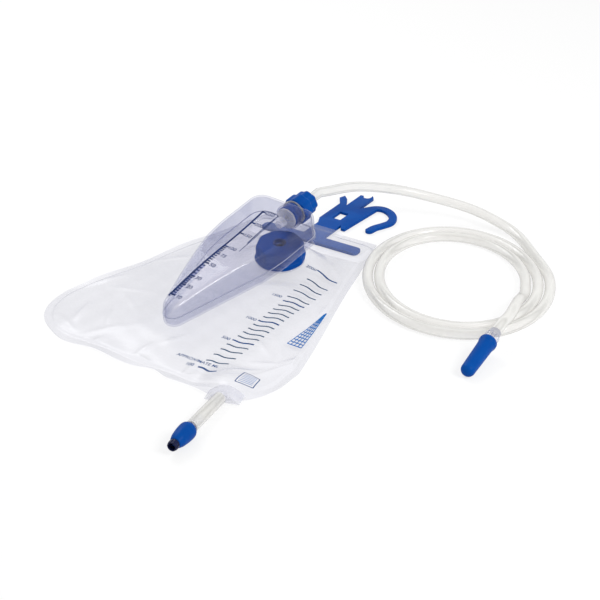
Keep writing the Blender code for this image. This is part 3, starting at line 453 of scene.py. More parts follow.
def film_top(x, y):
    """Height of the front film over the floor.

    The weld, plus trapped air that falls off as the fourth power along the bag and the
    square across it, plus what the bar and the port lift, plus the creases; under the
    flange it lies flat against the coupling.
    """
    inside = ease((from_edge(x, y) - weld_width) / 3)
    share = (-y - air_start) / (bag_length - air_start)
    along = np.where(share > 0, np.maximum(1 - abs(2 * share - 1) ** 4, 0), 0)
    air = air_height * along * np.maximum(1 - (x / half_width(y, right_corner)) ** 2, 0)
    from_middle = abs(x - hanger_x)
    below = np.maximum(bar_bottom - y, 0)
    to_bar = np.hypot(np.maximum(from_middle - bar_half, 0), np.maximum(below, y - bar_top))
    to_stem = np.hypot(np.maximum(from_middle - stem_half, 0), below)
    pocket = 1 - ease((np.minimum(to_bar, to_stem) - 6) / 6)
    across = (x - port_x) * np.cos(port_turn) + (y - port_y) * np.sin(port_turn)
    inward = (y - port_y) * np.cos(port_turn) - (x - port_x) * np.sin(port_turn)
    bell = np.cos(np.pi / 2 * np.minimum(abs(across) / port_spread, 1)) ** 2
    port = bell * (1 - ease((inward - 13.5) / port_spread))
    up = chamber_lean @ Vector((0, 0, 1))
    foot = Vector((12.6, -93.2, 28.9)) - up * 20  # the flange's underside, below the swivel
    flat = foot.z - (up.x * (x - foot.x) + up.y * (y - foot.y)) / up.z
    near = 1 - ease((np.hypot(x - foot.x, y - foot.y) - 27) / 22)
    crease = 0
    for x0, y0, x1, y1, height, wide in creases:
        run_x, run_y = x1 - x0, y1 - y0
        t = np.clip(((x - x0) * run_x + (y - y0) * run_y) / (run_x**2 + run_y**2), 0, 1)
        away = np.hypot(x - x0 - t * run_x, y - y0 - t * run_y)
        crease = crease + height / (1 + (away / wide) ** 2) * (0.35 + 0.65 * np.sin(np.pi * t))
    swell = 0.45 * np.sin(x / 13 + 0.8 * np.sin(y / 29)) * np.sin(y / 17 + x / 41)
    swell = swell + 0.16 * np.sin(x / 5.1 + y / 7.3) * np.sin(y / 6.1 - x / 9.7)
    free = film_layers * (0.7 + 0.3 * inside) + inside * (air + crease + swell * (1 - pocket))
    free = free + pocket_lift * pocket + port_lift * port
    return free + (flat - free) * near + film_lift(x, y)


def film_lift(x, y):
    """How far the bag's rim curls off the floor: slow waves along it that fade inwards."""
    wave = 0.5 + 0.5 * np.sin(x / 15 + 1.1 + 0.7 * np.sin(x / 33) + y / 19)
    return curl_height * wave * np.exp(-from_edge(x, y) / curl_fade) * ease((-y - 30) / 60)


corner_start = left_corner - bag_length
quarter = np.linspace(0, np.pi / 2, 40)[1:]
film_rows = np.concatenate([
    np.linspace(0, corner_start, 150), corner_start - left_corner * np.sin(quarter),
])[:, None]
crowding = 1.35  # brings the columns closer towards the sides
film_across = np.sin(np.linspace(-1, 1, 161) * crowding) / np.sin(crowding)
halves = [half_width(film_rows, corner) for corner in (left_corner, right_corner)]
film_x = film_across * np.where(film_across < 0, *halves)
# The bottom edge is wavy.
dent = 4 * np.exp(-(((film_x - 24) / 13) ** 2)) + 1.3 * np.sin(film_x / 9)
film_y = film_rows + dent * np.clip(-film_rows / bag_length, 0, 1) ** 14
front = np.stack([film_x, film_y, film_top(film_x, film_y)], axis=-1)
back = np.stack([film_x, film_y, 0.1 + film_lift(film_x, film_y)], axis=-1)
film_ring = placed(np.hstack([front, back[:, ::-1]]), bag_place)
top_edge = placed(np.stack([front[0], back[0]]), bag_place)
bottom_edge = placed(np.stack([front[-1], back[-1]]), bag_place)

# Clear PVC film, calendered: nearly water-clear face on, with painted lavender-grey shade that
# grows as the film turns away, so that its creases and rim show darker. Its haze is clouded every
# 45 mm, and fine ridges run over it 70 mm apart, where it was folded for packing.
pvc_film, tree = new_material("clear_pvc_film_calendered")
spot = add(tree, "TexCoord")
haze = add(tree, "TexNoise", {
    "Vector": spot.outputs["Object"], "Scale": 22, "Detail": 5, "Distortion": 1.2,
})
ridges = add(tree, "TexNoise", {
    "Vector": spot.outputs["Object"], "Scale": 14, "Detail": 3, "Roughness": 0.6,
    "Distortion": 0.5,
}, noise_type="RIDGED_MULTIFRACTAL")
bump = add(tree, "Bump", {"Height": ridges.outputs["Fac"], "Strength": 0.35, "Distance": 0.0012})
facing = add(tree, "LayerWeight", {"Blend": 0.5, "Normal": bump.outputs["Normal"]})
# Painted shade: the light let through turns lavender grey as the film turns away from view.
tint = add(tree, "ValToRGB", {"Fac": facing.outputs["Facing"]})
set_stops(
    tint, (0.35, "#FCFCFE"), (0.52, "#F4F4F6"), (0.62, "#EFEFF2"), (0.78, "#DFE0E8"), (1, "#B4B6CA")
)
share = add(tree, "MapRange", {
    "Value": facing.outputs["Facing"], "From Min": 0.45, "From Max": 0.85,
    "To Min": 0.03, "To Max": 0.35,
})
cloudy = add(tree, "MapRange", {
    "Value": haze.outputs["Fac"], "From Min": 0.3, "From Max": 0.7, "To Min": 0.7, "To Max": 1.3,
})
clouded = {0: share.outputs[0], 1: cloudy.outputs[0]}
shared = add(tree, "Math", clouded, operation="MULTIPLY", use_clamp=True)
through = add(tree, "BsdfTransparent", {"Color": tint.outputs["Color"]})
body = add(tree, "BsdfPrincipled", {
    "Base Color": linear("#EAEBEE"), "Roughness": 0.6, "Specular IOR Level": 0,
    "Normal": bump.outputs["Normal"],
})
mixed = add(tree, "MixShader", {0: shared.outputs[0], 1: through.outputs[0], 2: body.outputs[0]})
glossy_skin(tree, mixed, 1.2, 0.2, Normal=bump.outputs["Normal"])

film_mesh = mesh_of(
    "bag_film_welded", quads(film_ring, columns_close=True), quads(top_edge),
    quads(bottom_edge), sharp=60,
)
put(film_mesh, pvc_film, "bag", "bag_film", "bag_front_film", "bag_back_film")


# Print on the bag: screen-printed blue ink, a volume scale of wavy lines with plain
# numbers, a hatched wedge beside it and a small ruled box by the drain.
def ribbon(path, width):
    """A flat strip of even width along a path of (x, y), as a grid of two rows."""
    along = np.gradient(path, axis=0)
    along /= np.linalg.norm(along, axis=1)[:, None]
    side = np.stack([-along[:, 1], along[:, 0]], axis=1) * width / 2
    return np.stack([path - side, path + side])


def on_film(points):
    """Points of (x, y) laid 0.12 mm over the front film."""
    x, y = points[..., 0], points[..., 1]
    return placed(np.stack([x, y, film_top(x, y) + 0.12], axis=-1), bag_place)


def mesh_from(curve):
    """What a curve or words fill, as a mesh, with its points as an array."""
    holder = bpy.data.objects.new(curve.name, curve)
    bpy.context.scene.collection.objects.link(holder)
    drawn = holder.evaluated_get(bpy.context.evaluated_depsgraph_get())
    mesh = bpy.data.meshes.new_from_object(drawn)
    bpy.data.objects.remove(holder)
    points = np.empty(len(mesh.vertices) * 3)
    mesh.vertices.foreach_get("co", points)
    return mesh, points.reshape(-1, 3)


def lettering(words, at, size, lean=0):
    """The faces of words as (x, y) points and triangles, centred at a point."""
    text = bpy.data.curves.new("lettering", "FONT")
    text.body = words
    text.size = size
    text.offset = size / 75  # a little bolder
    text.align_x = "CENTER"
    text.align_y = "CENTER"
    mesh, points = mesh_from(text)
    mesh.calc_loop_triangles()
    corners = np.empty(len(mesh.loop_triangles) * 3, int)
    mesh.loop_triangles.foreach_get("vertices", corners)
    spin = np.array([(np.cos(lean), np.sin(lean)), (-np.sin(lean), np.cos(lean))])
    return points[:, :2] @ spin + at, corners.reshape(-1, 3)


def ink(name, dark, light, fill):
    """Printed ink: two tones in patches of 3 mm, thinner in places where fill is under 1."""
    made, tree = new_material(name)
    patch, tone = mottled(tree, 300, 4, (0.35, dark), (0.7, light))
    covered = add(tree, "MapRange", {
        "Value": patch.outputs["Fac"], "From Min": 0.3, "From Max": 0.5,
        "To Min": fill, "To Max": 1.0,
    })
    body = add(tree, "BsdfPrincipled", {
        "Base Color": tone.outputs["Color"], "Roughness": 0.5, "Specular IOR Level": 0.05,
        "Alpha": covered.outputs[0],
    })
    add(tree, "OutputMaterial", {"Surface": body.outputs[0]})
    return made


bold, thin = [], []
first_mark = -280.9
steps = [0, 14.1, 10.1, 9.8, 8.8, 8.4] + [8.05] * 11 + [11.5, 11.3, 11.3, 17.3]
for number, middle in enumerate(first_mark + np.cumsum(steps)):
    # The upper marks are a little wider, and fall to the right where the lower ones rise.
    left, right = 55.6 - 5.2 * ease((number - 14) / 4.5), 75.3 + 2.4 * ease((number - 13) / 4)
    rise = 4.6 - 14 * ease((number - 13) / 7.5) if number else -1
    t = np.linspace(0, 1, 25)
    wavy = middle + rise * (t - 0.5) + 0.9 * np.sin(2 * np.pi * (1.15 * t + 0.05 * number))
    path = np.stack([left + (right - left) * t, wavy], axis=1)
    row, width = (bold, 1.9) if number % 5 == 0 else (thin, 1.6)
    row.append(quads(on_film(ribbon(path, width))))
words = [
    ("100", (47.6, -281.2), 5.4), ("500", (49.7, -232.4), 5.4), ("1000", (48.8, -193.4), 5.4),
    ("1500", (45.4, -147.2), 5.4), ("2000", (44.8, -87.1), 5.4),
    ("APPROXIMATE ML", (50.2, -273.6), 5.2),
]
for word, at, size in words:
    points, faces = lettering(word, at, size, 0.04)
    bold.append((on_film(points), faces))
apex, left_foot, right_foot = np.array([(97.7, -144.3), (97.2, -207.7), (110.7, -206.5)])
wedge = []
for t in np.linspace(0, 1, 5):
    foot_at = left_foot + (right_foot - left_foot) * t
    path = apex + (foot_at - apex) * np.linspace(0, 1, 30)[:, None]
    wedge.append(quads(on_film(ribbon(path, 0.75))))
for t in np.linspace(0.28, 1, 10):
    across = np.linspace(0, 1, 12)[:, None]
    path = apex + (left_foot - apex) * t + (right_foot - left_foot) * t * across
    wedge.append(quads(on_film(ribbon(path, 1.5))))
box = np.array([(96.1, -269.9), (110.6, -268.5), (113.6, -283.1), (99.8, -288.9)])
box_margin = (1.8, 0)
t = np.linspace(0, 1, 12)[:, None]
for corner, after in zip(box, np.roll(box, -1, axis=0)):
    bold.append(quads(on_film(ribbon(corner + (after - corner) * t, 0.8))))
for down in np.linspace(0.15, 0.85, 6):
    start = box[0] + (box[3] - box[0]) * down + box_margin
    stop = box[1] + (box[2] - box[1]) * down - box_margin
    wedge.append(quads(on_film(ribbon(start + (stop - start) * t, 0.6))))
blue_ink = ink("blue_ink_screen_printed", "#153C6E", "#215089", 0.95)
put(joined("scale_bold_print", bold), blue_ink, "bag", "bag_film")
slate_ink = ink("slate_ink_screen_printed", "#243F5E", "#365676", 0.9)
put(joined("scale_thin_print", thin), slate_ink, "bag", "bag_film")
light_blue_ink = ink("light_blue_ink_screen_printed", "#1A5CA4", "#2E74B8", 0.9)
put(joined("wedge_print", wedge), light_blue_ink, "bag", "bag_film")


# Hanger: one flat injection moulding of blue polypropylene, its bar and stem held
# between the films, with a hook, a tab notched for cords and a window to hang it by.
def arc(middle, radius, start, end, count):
    """count points on an arc of degrees from start to end."""
    angle = np.radians(np.linspace(start, end, count))
    x, y = middle[0] + radius * np.cos(angle), middle[1] + radius * np.sin(angle)
    return np.stack([x, y], axis=1)


hook_half, half_thick, hanger_middle = 4.25, 1.6, 2.4
hook_line = catmull_rom([
    (16, 58), (20, 67.5), (29, 71.5), (40, 67.5), (48.5, 58), (51, 47), (47.5, 37),
    (43.5, 28.5), (42, 20),
], 56)
along = np.gradient(hook_line, axis=0)
along /= np.linalg.norm(along, axis=1)[:, None]
side = np.stack([-along[:, 1], along[:, 0]], axis=1) * hook_half
heading = np.degrees(np.arctan2(along[-1][1], along[-1][0]))
hook_end = arc(hook_line[-1], hook_half, heading + 90, heading - 90, 11)
hanger_outline = np.vstack([
    arc((52, -25), 5, 90, 0, 9), arc((52, -28.5), 5, 0, -90, 9),
    arc((-52, -28.5), 5, -90, -180, 9), arc((-52, -25), 5, 180, 90, 9),
    [(-12, -20), (-12, 7), (-16.5, 17), (-16.5, 58), (-24, 70), (-21.5, 77.5), (-15, 71)],
    [(-8, 58), (-8, 88)], arc((0, 88), 4.3, 180, 360, 15), [(4.3, 93), (8, 88), (8, 58)],
    (hook_line + side)[6:-1], hook_end, (hook_line - side)[9:-1][::-1],
    [(20, 7), (15.5, 7), (12, 12.5), (12, -20)],
])
window = np.array([(-5, 23.5), (5, 23.5), (5, 40.5), (-5, 40.5)])
hanger_curve = bpy.data.curves.new("hanger_outline", "CURVE")
hanger_curve.dimensions = "2D"
hanger_curve.fill_mode = "BOTH"
hanger_edge = 0.45
hanger_curve.extrude = half_thick - hanger_edge
hanger_curve.bevel_depth = hanger_edge
hanger_curve.bevel_resolution = 3
hanger_curve.offset = -hanger_edge
for outline in (hanger_outline, window):
    loop = hanger_curve.splines.new("POLY")
    loop.points.add(len(outline) - 1)
    flat_and_weight = np.repeat([(0, 1)], len(outline), axis=0)
    loop.points.foreach_set("co", np.hstack([outline, flat_and_weight]).ravel())
    loop.use_cyclic_u = True
hanger_mesh, points = mesh_from(hanger_curve)
hanger_mesh.name = "hanger_moulded"
hanger_at = placed(points + (hanger_x, 0, hanger_middle), bag_place)
hanger_mesh.vertices.foreach_set("co", hanger_at.ravel())
hanger_mesh.materials.clear()
put(cleaned(hanger_mesh), blue_pp, "bag", "blue_moulding", "hanger")


# Coupling: a fluted knob of blue polypropylene under the chamber, turned by hand on the
# clear flange that is welded to the film, with a silicone seal and a film flap inside.
knob = [
    (6.3, -0.3), (20, -0.3), (22.4, -1.3, 0.9), (23.5, -3.8, 1.8), (23.5, -12.5, 1.8),
    (25, -13.5, 1.8), (25, -16.9, 1.8), (24, -17.9), (10.6, -17.9), (10.6, -14.6), (8.3, -14.6),
    (8.3, -6.1), (4.4, -6.1), (4.4, -4.3), (6.3, -4.3),
]
knob_mesh = mesh_of("coupling_knob_fluted", turned(knob, swivel_place, 0.8, 8, 144))
put(knob_mesh, blue_pp, "chamber", "blue_moulding", "coupling_knob")
flange = [
    (5.5, -6.4), (8, -6.4), (8, -18.2), (24, -18.2), (24, -19.7), (8, -19.7), (8, -22),
    (5.5, -22),
]
flange_mesh = mesh_of("bag_flange_welded", turned(flange, swivel_place, 0.3))
put(flange_mesh, clear_styrene, "bag", "clear_moulding", "bag_inlet_flange")

# Moulded silicone rubber: grey-white and half clear, dull from a grain of 2 mm.
silicone, tree = new_material("silicone_rubber_moulded")
cloud, tone = mottled(tree, 500, 3, (0, "#C2C3C6"), (1, "#D6D7D9"))
bump = add(tree, "Bump", {"Height": cloud.outputs["Fac"], "Strength": 0.15, "Distance": 0.0001})
body = add(tree, "BsdfPrincipled", {
    "Base Color": tone.outputs["Color"], "Roughness": 0.55, "Specular IOR Level": 0.15,
    "Normal": bump.outputs["Normal"],
})
through = add(tree, "BsdfTransparent", {"Color": linear("#E4E5EA")})
mixed = add(tree, "MixShader", {0: 0.35, 1: through.outputs[0], 2: body.outputs[0]})
add(tree, "OutputMaterial", {"Surface": mixed.outputs[0]})

seal = [(8.2, -17.9), (10.3, -17.9), (10.3, -15.2), (8.2, -15.2)]
seal_mesh = mesh_of("coupling_seal_ring", turned(seal, swivel_place, 0.5))
put(seal_mesh, silicone, "bag", "seal_rubber", "coupling_seal")
flap = [(0, -22.3), (12, -22.3), (12, -22.9), (0, -22.9)]
flap_mesh = mesh_of("anti_reflux_disc", turned(flap, swivel_place, 0.2))
put(flap_mesh, pvc_film, "bag", "bag_film", "anti_reflux_flap")


# Chamber: two trays of clear styrene welded together, wide at the inlet and tapered to
# a rounded tip, with a hollow neck for the inlet cap and a spout into the coupling.
swivel_in_plan = (5, 158.5)  # from the chamber's middle line and from its tip
tip_radius, knee, shoulder_radius = 9, (35, 107), 14
wall, outer_edge, inner_edge = 1.8, 4, 2.4
front_rim, back_rim = 11.15, 10.85  # heights of the weld over the chamber's back
lid_columns = 15


def chamber_half(count):
    """Half the plan as (x, distance from the tip), from tip to end wall, smooth at the knee."""
    knee_x, knee_run = knee[0], knee[1] - tip_radius
    reach = np.hypot(knee_x, knee_run)
    lean = np.degrees(np.arctan2(knee_x, knee_run) - np.arcsin(tip_radius / reach))
    tip = arc((0, tip_radius), tip_radius, -90, -lean, 14)
    side = tip[-1] + (np.array(knee) - tip[-1]) * np.linspace(0.06, 0.9, 12)[:, None]
    waist = [(35.2, 122), (35.6, 145), (35.9, 160)]
    shoulder = arc((22, 168), shoulder_radius, 0, 90, 16)
    return catmull_rom(np.vstack([tip, side, waist, shoulder]), count)


def chamber_ring(inset):
    """Half the plan and the whole closed ring, pulled in by inset along its own normals."""
    half = chamber_half(88)
    along = np.gradient(half, axis=0)
    along[0] = (1, 0)
    along[-1] = (-1, 0)
    along /= np.linalg.norm(along, axis=1)[:, None]
    half = half - inset * np.stack([along[:, 1], -along[:, 0]], axis=1)
    end = np.linspace(half[-1], half[-1] * (-1, 1), lid_columns)[1:-1]
    return half, np.vstack([half, end, half[:0:-1] * (-1, 1)])


def front_height(distance):
    """The front face's height: it rises from 22 to 32 mm by a quarter sine over 90 mm."""
    return 22 + 10 * np.sin(np.pi / 2 * np.clip(distance / 90, 0, 1))


def tray(levels, height_of):
    """A tray from rings of the chamber's plan at (inset, drop) levels, inner lid to outer lid.

    height_of(distance, drop) is the height. The first and the last ring are filled by
    rows across the plan.
    """
    rings, lids = [], []
    for inset, drop in levels:
        half, ring = chamber_ring(inset)
        rings.append(np.column_stack([ring - swivel_in_plan, height_of(ring[:, 1], drop)]))
        across = half[:, :1] * np.linspace(-1, 1, lid_columns)
        lid = np.stack([across, np.repeat(half[:, 1:], lid_columns, axis=1)], axis=-1)
        lids.append(np.dstack([lid - swivel_in_plan, height_of(lid[..., 1], drop)]))
    rings = placed(np.stack(rings), swivel_place)
    ends = [quads(placed(lid, swivel_place)) for lid in (lids[0], lids[-1])]
    return [quads(rings, columns_close=True), *ends]


def rounded_edge(start, radius, angles):
    """(inset, drop) levels of a quarter circle of the radius, from a face start deep."""
    return [(start + radius * (1 - np.cos(a)), start + radius * (1 - np.sin(a))) for a in angles]


edge_angles = np.radians(np.linspace(0, 90, 7))
outer_levels = rounded_edge(0, outer_edge, edge_angles)
inner_levels = rounded_edge(wall, inner_edge, edge_angles[::-1])
past_rim = 40  # a drop deeper than the tray, so that the rim's height takes over
rim_levels = [(0.8, past_rim), (-1, past_rim)]
front_levels = [*inner_levels, *rim_levels, *outer_levels]
back_levels = [(inset - 1, drop) for inset, drop in inner_levels] + rim_levels
back_levels += [(inset - 1, drop) for inset, drop in outer_levels]
front_shell = tray(front_levels, lambda s, drop: np.maximum(front_height(s) - drop, front_rim))
back_shell = tray(back_levels, lambda s, drop: np.full(np.shape(s), min(drop, back_rim)))
neck_ring = [(11.1, -6), (12.7, -6), (12.7, 4.2), (11.1, 4.2)]
spout = [(4.4, -4), (6, -4), (6, 1.2), (4.4, 1.2)]
neck = turned(neck_ring, neck_place, 0.3)
front_mesh = mesh_of("chamber_front_tray", *front_shell, neck, sharp=50)
put(front_mesh, clear_styrene, "chamber", "clear_moulding", "chamber_front_shell")
back_mesh = mesh_of("chamber_back_tray", *back_shell, turned(spout, swivel_place, 0.3), sharp=50)
put(back_mesh, clear_styrene, "chamber", "clear_moulding", "chamber_back_shell")

# Weld bead: a ridge of styrene where the trays are welded; its grey, uneven every 2.5 mm, is
# painted shade for the dark line the seam shows.
weld_painted_shade, tree = new_material("styrene_weld_bead_painted_shade")
_, tone = mottled(tree, 400, 2, (0, "#8D92A9"), (1, "#B1B5C6"))
body = add(tree, "BsdfPrincipled", {
    "Base Color": tone.outputs["Color"], "Roughness": 0.4, "Specular IOR Level": 0.2,
})
add(tree, "OutputMaterial", {"Surface": body.outputs[0]})
weld_rows = []
for inset, height in ((-0.5, 10.8), (-1.15, 10.8), (-1.15, 11.2), (-0.5, 11.2)):
    ring = chamber_ring(inset)[1]
    weld_rows.append(np.column_stack([ring - swivel_in_plan, np.full(len(ring), height)]))
weld = quads(placed(np.stack(weld_rows), swivel_place), rows_close=True, columns_close=True)
put(mesh_of("chamber_weld_bead", weld), weld_painted_shade, "chamber", "clear_moulding")


# Scale on the chamber: navy ink pad-printed on the front face, a line with ticks and
# plain numbers to its right, and a short border that frames the top of the panel. A pale
# lavender band under its lower ticks is painted shade, for the line's shadow and refraction.
def on_chamber(points, lift=0.12):
    """Points of (x from the middle line, distance from the tip) lifted off the front face."""
    height = front_height(points[..., 1:]) + lift
    return placed(np.concatenate([points - swivel_in_plan, height], axis=-1), swivel_place)


def scale_x(s):
    """The scale's line bows away to the left from its middle, by the square of the distance."""
    return -5.9 - np.where(s < 80, 1.2, 3.5) * ((s - 80) / 70) ** 2


run = np.linspace(12, 155, 60)
marks = [quads(on_chamber(ribbon(np.stack([scale_x(run), run], axis=1), 2.1)))]
numbers = (
    (15, 10), (29, 20), (41.5, 30), (61.5, 50), (77, 75), (90, 100), (114, 150), (133.5, 200),
    (153.5, 250),
)
for at, volume in numbers:
    x = scale_x(at)
    marks.append(quads(on_chamber(ribbon(np.array([(x, at), (x + 2.5, at), (x + 5, at)]), 2))))
    points, faces = lettering(str(volume), (x + 9.3, at - 0.4), 6)
    marks.append((on_chamber(points), faces))
for (low, _), (high, _) in zip(numbers, numbers[1:6]):
    for at in np.linspace(low, high, 6)[1:-1]:
        x = scale_x(at)
        marks.append(quads(on_chamber(ribbon(np.array([(x, at), (x + 2, at), (x + 4, at)]), 1.6))))
for line, width in (
    ([(-9.5, 156), (-3, 156.2), (6.5, 156)], 0.8), ([(7, 156), (7, 141), (9.6, 104)], 1.1),
    ([(7.8, 149), (10.4, 112), (11.2, 90)], 0.7),
):
    marks.append(quads(on_chamber(ribbon(np.array(line), width))))
navy_ink = ink("navy_ink_pad_printed", "#14254F", "#22386E", 0.95)
put(joined("chamber_scale_print", marks), navy_ink, "chamber", "clear_moulding")
# Painted shade: a pale lavender strip beside the line's lower part, drawn through the ink material.
run = np.linspace(14, 58, 30)
shadow_strip = quads(on_chamber(ribbon(np.stack([scale_x(run) + 2.4, run], axis=1), 2.4), 0.06))
painted_shadow_band = ink("lavender_painted_shadow", "#7F84B4", "#9A9FC8", 0.3)
put(joined("chamber_scale_painted_shadow", [shadow_strip]), painted_shadow_band, "chamber", "clear_moulding")


# Inlet: a silicone gasket, the two-step fluted cap with its plug in blue polypropylene,
# and the drip nozzle of natural polyethylene that hangs inside the chamber.
gasket = [(11.1, 4.5), (12.7, 4.5), (12.7, 5.7), (11.1, 5.7)]
gasket_mesh = mesh_of("inlet_gasket_ring", turned(gasket, neck_place, 0.3))
put(gasket_mesh, silicone, "chamber", "seal_rubber", "inlet_gasket")
cap = [
    (2.2, -6), (10.8, -6), (10.8, 6), (13, 6, 1.2), (14, 7, 1.2), (14, 18, 1.2), (12.7, 19, 1.2),
    (12, 19.6, 1.2), (12, 28.5, 1.2), (10.5, 30, 0.6), (6.4, 30.6), (3.2, 33), (2.2, 33),
]
cap_mesh = mesh_of("inlet_cap_fluted", turned(cap, neck_place, 0.7, 8, 144))
put(cap_mesh, blue_pp, "chamber", "blue_moulding", "inlet_cap")

# Natural moulded polyethylene: frosty white, clearer face on, clouded every 8 mm.
natural, tree = new_material("natural_polyethylene_moulded")
_, tone = mottled(tree, 120, 3, (0, "#EEEFF2"), (1, "#FAFAFB"))
facing = add(tree, "LayerWeight", {"Blend": 0.5})
share = add(tree, "MapRange", {"Value": facing.outputs["Facing"], "To Min": 0.2, "To Max": 0.65})
through = add(tree, "BsdfTransparent", {"Color": linear("#F6F6F9")})
body = add(tree, "BsdfPrincipled", {
    "Base Color": tone.outputs["Color"], "Roughness": 0.5, "Specular IOR Level": 0.1,
})
mixed = add(tree, "MixShader", {0: share.outputs[0], 1: through.outputs[0], 2: body.outputs[0]})
add(tree, "OutputMaterial", {"Surface": mixed.outputs[0]})
drip = [
    (10.5, -6.3), (10.5, -8.3), (5, -13.3), (4, -20.3), (2.8, -20.3), (3.8, -12.7), (9.3, -7.7),
    (9.3, -6.3),
]
drip_mesh = mesh_of("drip_nozzle_natural", turned(drip, neck_place, 0.3))
put(drip_mesh, natural, "chamber", "clear_moulding", "drip_nozzle")


# Drain: a boat-shaped port of natural polyethylene welded between the films, a short milky
# tube on its spigot, and a push-pull valve, whose blue sleeve slides on a clear stem.
port_half, port_rise, port_axis, port_off_floor = 15, 8, 5.5, 0.8
tube_low, tube_high, sleeve_low = 6.1, 52.1, 54.2  # along the drain's axis from the port
stem_length, sleeve_length, sleeve_radius, sleeve_off_floor = 15.5, 23, 7.6, 0.2
stem_end, sleeve_high = sleeve_low + stem_length, sleeve_low + sleeve_length
port_place = bag_place @ Matrix.Translation((port_x * mm, port_y * mm, 0))
port_place = port_place @ Matrix.Rotation(port_turn, 4, "Z")
# The drain rises from the floor by the angle that lets the sleeve's widest part clear it.
sleeve_widest = sleeve_low + sleeve_length / 4
drain_lift = np.arcsin((sleeve_radius + sleeve_off_floor - port_axis) / sleeve_widest)
drain_turn = np.radians(8) - port_turn
drain_place = port_place @ Matrix.Translation((0, 0, port_axis * mm))
drain_place = drain_place @ Matrix.Rotation(drain_turn, 4, "Z")
drain_place = drain_place @ Matrix.Rotation(np.pi / 2 - drain_lift, 4, "X")
u = np.linspace(port_half, -port_half, 49)
arch = np.stack([u, np.maximum(port_rise * (1 - (u / port_half) ** 2), 0.8)], axis=1)
boat = np.vstack([[(-port_half, 0), (0, 0), (port_half, 0)], arch])
boat_rows = []
for v, scale in ((-5, 0), (-5, 0.93), (-4.5, 1), (8.5, 1), (9, 0.93), (9, 0)):
    section = np.array([0, 3]) + (boat - (0, 3)) * scale
    height = port_off_floor + section[:, 1]
    boat_rows.append(np.column_stack([section[:, 0], np.full(len(boat), v), height]))
boat_grid = quads(placed(np.stack(boat_rows), port_place), columns_close=True)
spigot = [(2.4, 0), (3.4, 0), (3.4, 20), (2.4, 20)]
port_mesh = mesh_of("outlet_port_welded", boat_grid, turned(spigot, drain_place, 0.2))
put(port_mesh, natural, "bag", "clear_moulding", "outlet_port")
hose = [(3.8, tube_low), (5.2, tube_low), (5.2, tube_high), (3.8, tube_high)]
hose_mesh = mesh_of("drain_tube_milky", turned(hose, drain_place, 0.3))
put(hose_mesh, milky_pvc, "bag", "tube", "drain_tube")
stem = [
    (0, stem_end - 6.8), (2.4, stem_end - 6.8), (2.4, tube_high - 12), (3.4, tube_high - 12),
    (3.4, tube_high + 0.3), (5.2, tube_high + 0.3), (5.2, tube_high + 1.8), (4, tube_high + 1.8),
    (4, stem_end - 5.4), (2.9, stem_end - 5.4), (2.9, stem_end - 2.6), (4, stem_end - 2.6),
    (4, stem_end - 1), (3, stem_end), (0, stem_end),
]
stem_mesh = mesh_of("valve_stem_clear", turned(stem, drain_place, 0.2))
put(stem_mesh, clear_styrene, "bag", "clear_moulding", "valve_stem")
angle = np.linspace(0, 2 * np.pi, 13)[:-1]
o_ring = np.stack([3.55 + 0.55 * np.cos(angle), stem_end - 4 + 1.1 * np.sin(angle)], axis=1)
o_ring_mesh = mesh_of("valve_o_ring_silicone", turned(o_ring.tolist(), drain_place, 0.2))
put(o_ring_mesh, silicone, "bag", "seal_rubber", "valve_o_ring")
egg_at = [0, 0.06, 0.15, 0.25, 0.5, 0.8, 0.95, 1]
egg_of_radius = [0.64, 0.88, 0.98, 1, 0.96, 0.83, 0.67, 0.58]
egg_share = np.linspace(0, 1, 15)
egg = np.interp(egg_share, egg_at, egg_of_radius) * sleeve_radius
sleeve = [
    (4.4, sleeve_low), *np.stack([egg, sleeve_low + sleeve_length * egg_share], axis=1).tolist(),
    (2.8, sleeve_high), (2.8, stem_end + 2), (4.4, stem_end + 1),
]
sleeve_mesh = mesh_of("valve_sleeve_egg", turned(sleeve, drain_place, 0.8))
put(sleeve_mesh, blue_pp, "valve", "blue_moulding", "valve_sleeve")

# Navy injection-moulded polypropylene: near black, with flow marks every 5 mm.
navy_pp, tree = new_material("navy_polypropylene_injection_moulded")
flow, hue = mottled(tree, 200, 3, (0, "#080B26"), (1, "#121A45"))
bump = add(tree, "Bump", {"Height": flow.outputs["Fac"], "Strength": 0.1, "Distance": 0.0002})
body = add(tree, "BsdfPrincipled", {
    "Base Color": hue.outputs["Color"], "Roughness": 0.35, "Specular IOR Level": 0.12,
    "Normal": bump.outputs["Normal"],
})
add(tree, "OutputMaterial", {"Surface": body.outputs[0]})
nozzle = [
    (2.8, sleeve_high + 0.3), (4.4, sleeve_high + 0.3), (4.4, sleeve_high + 2.3, 0.5),
    (4.4, sleeve_high + 3.8, 0.5), (3.9, sleeve_high + 5.3), (3.05, sleeve_high + 5.3),
    (2.8, sleeve_high + 4.3),
]
nozzle_mesh = mesh_of("valve_nozzle_ribbed", turned(nozzle, drain_place, 0.3, 10, 120))
put(nozzle_mesh, navy_pp, "valve", "navy_moulding", "valve_nozzle")


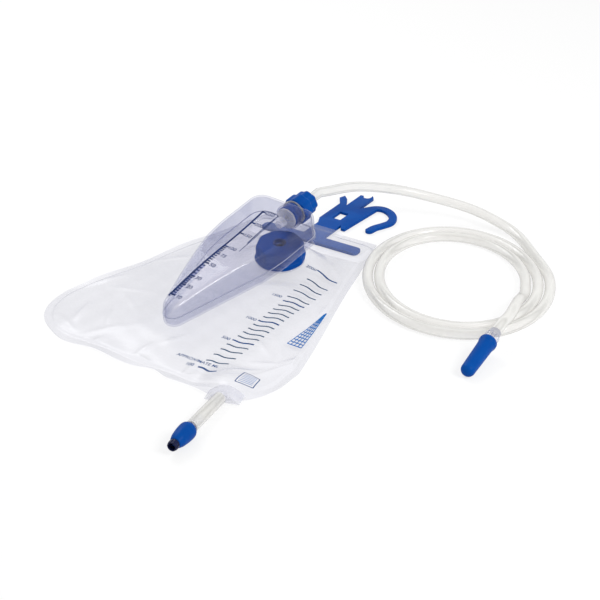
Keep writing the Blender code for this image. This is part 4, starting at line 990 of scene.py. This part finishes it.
# Floor and light: a white sweep that keeps a little of the object's shadow, under wide
# soft lamps from the upper left and from the right, where one lights the chamber's edge.
def sees_background(tree):
    """1 for camera, glossy and transmission rays, which see a white background, else 0."""
    rays = add(tree, "LightPath")
    seen = rays.outputs["Is Camera Ray"]
    for kind in ("Is Glossy Ray", "Is Transmission Ray"):
        seen = add(tree, "Math", {0: seen, 1: rays.outputs[kind]}, operation="MAXIMUM").outputs[0]
    return seen


floor = bpy.data.objects.new("floor", bpy.data.meshes.new("floor"))
bpy.context.scene.collection.objects.link(floor)
floor_corners = [(-6, -6, 0), (6, -6, 0), (6, 6, 0), (-6, 6, 0)]
floor.data.from_pydata(floor_corners, [], [(0, 1, 2, 3)])
floor_white, tree = new_material("white_paper_sweep")
share = add(tree, "Math", {0: sees_background(tree), 1: 0.75}, operation="MULTIPLY")
lit = add(tree, "BsdfDiffuse", {"Color": linear("#FAFAFA")})
glow = add(tree, "Emission", {"Color": (1, 1, 1, 1), "Strength": 1})
mixed = add(tree, "MixShader", {0: share.outputs[0], 1: lit.outputs[0], 2: glow.outputs[0]})
add(tree, "OutputMaterial", {"Surface": mixed.outputs[0]})
floor.data.materials.append(floor_white)

world = bpy.data.worlds.new("studio")
bpy.context.scene.world = world
world.use_nodes = True
tree = world.node_tree
tree.nodes.clear()
strength = add(tree, "MapRange", {"Value": sees_background(tree), "To Min": 0.6, "To Max": 1.0})
sky = add(tree, "Background", {"Color": (1, 1, 1, 1), "Strength": strength.outputs[0]})
add(tree, "OutputWorld", {"Surface": sky.outputs[0]})

lamps = (("key_lamp", (-1.0, 0.45, 1.25), 0.7, 10), ("ridge_lamp", (1.16, -0.05, 0.95), 0.5, 10))
for name, place, size, power in lamps:
    lamp = bpy.data.objects.new(name, bpy.data.lights.new(name, "AREA"))
    bpy.context.scene.collection.objects.link(lamp)
    lamp.data.size = size
    lamp.data.energy = power
    lamp.location = place
    lamp.rotation_euler = (-Vector(place)).to_track_quat("-Z", "Y").to_euler()

bpy.context.scene.cycles.transparent_max_bounces = 24
bpy.context.scene.view_settings.view_transform = "Standard"
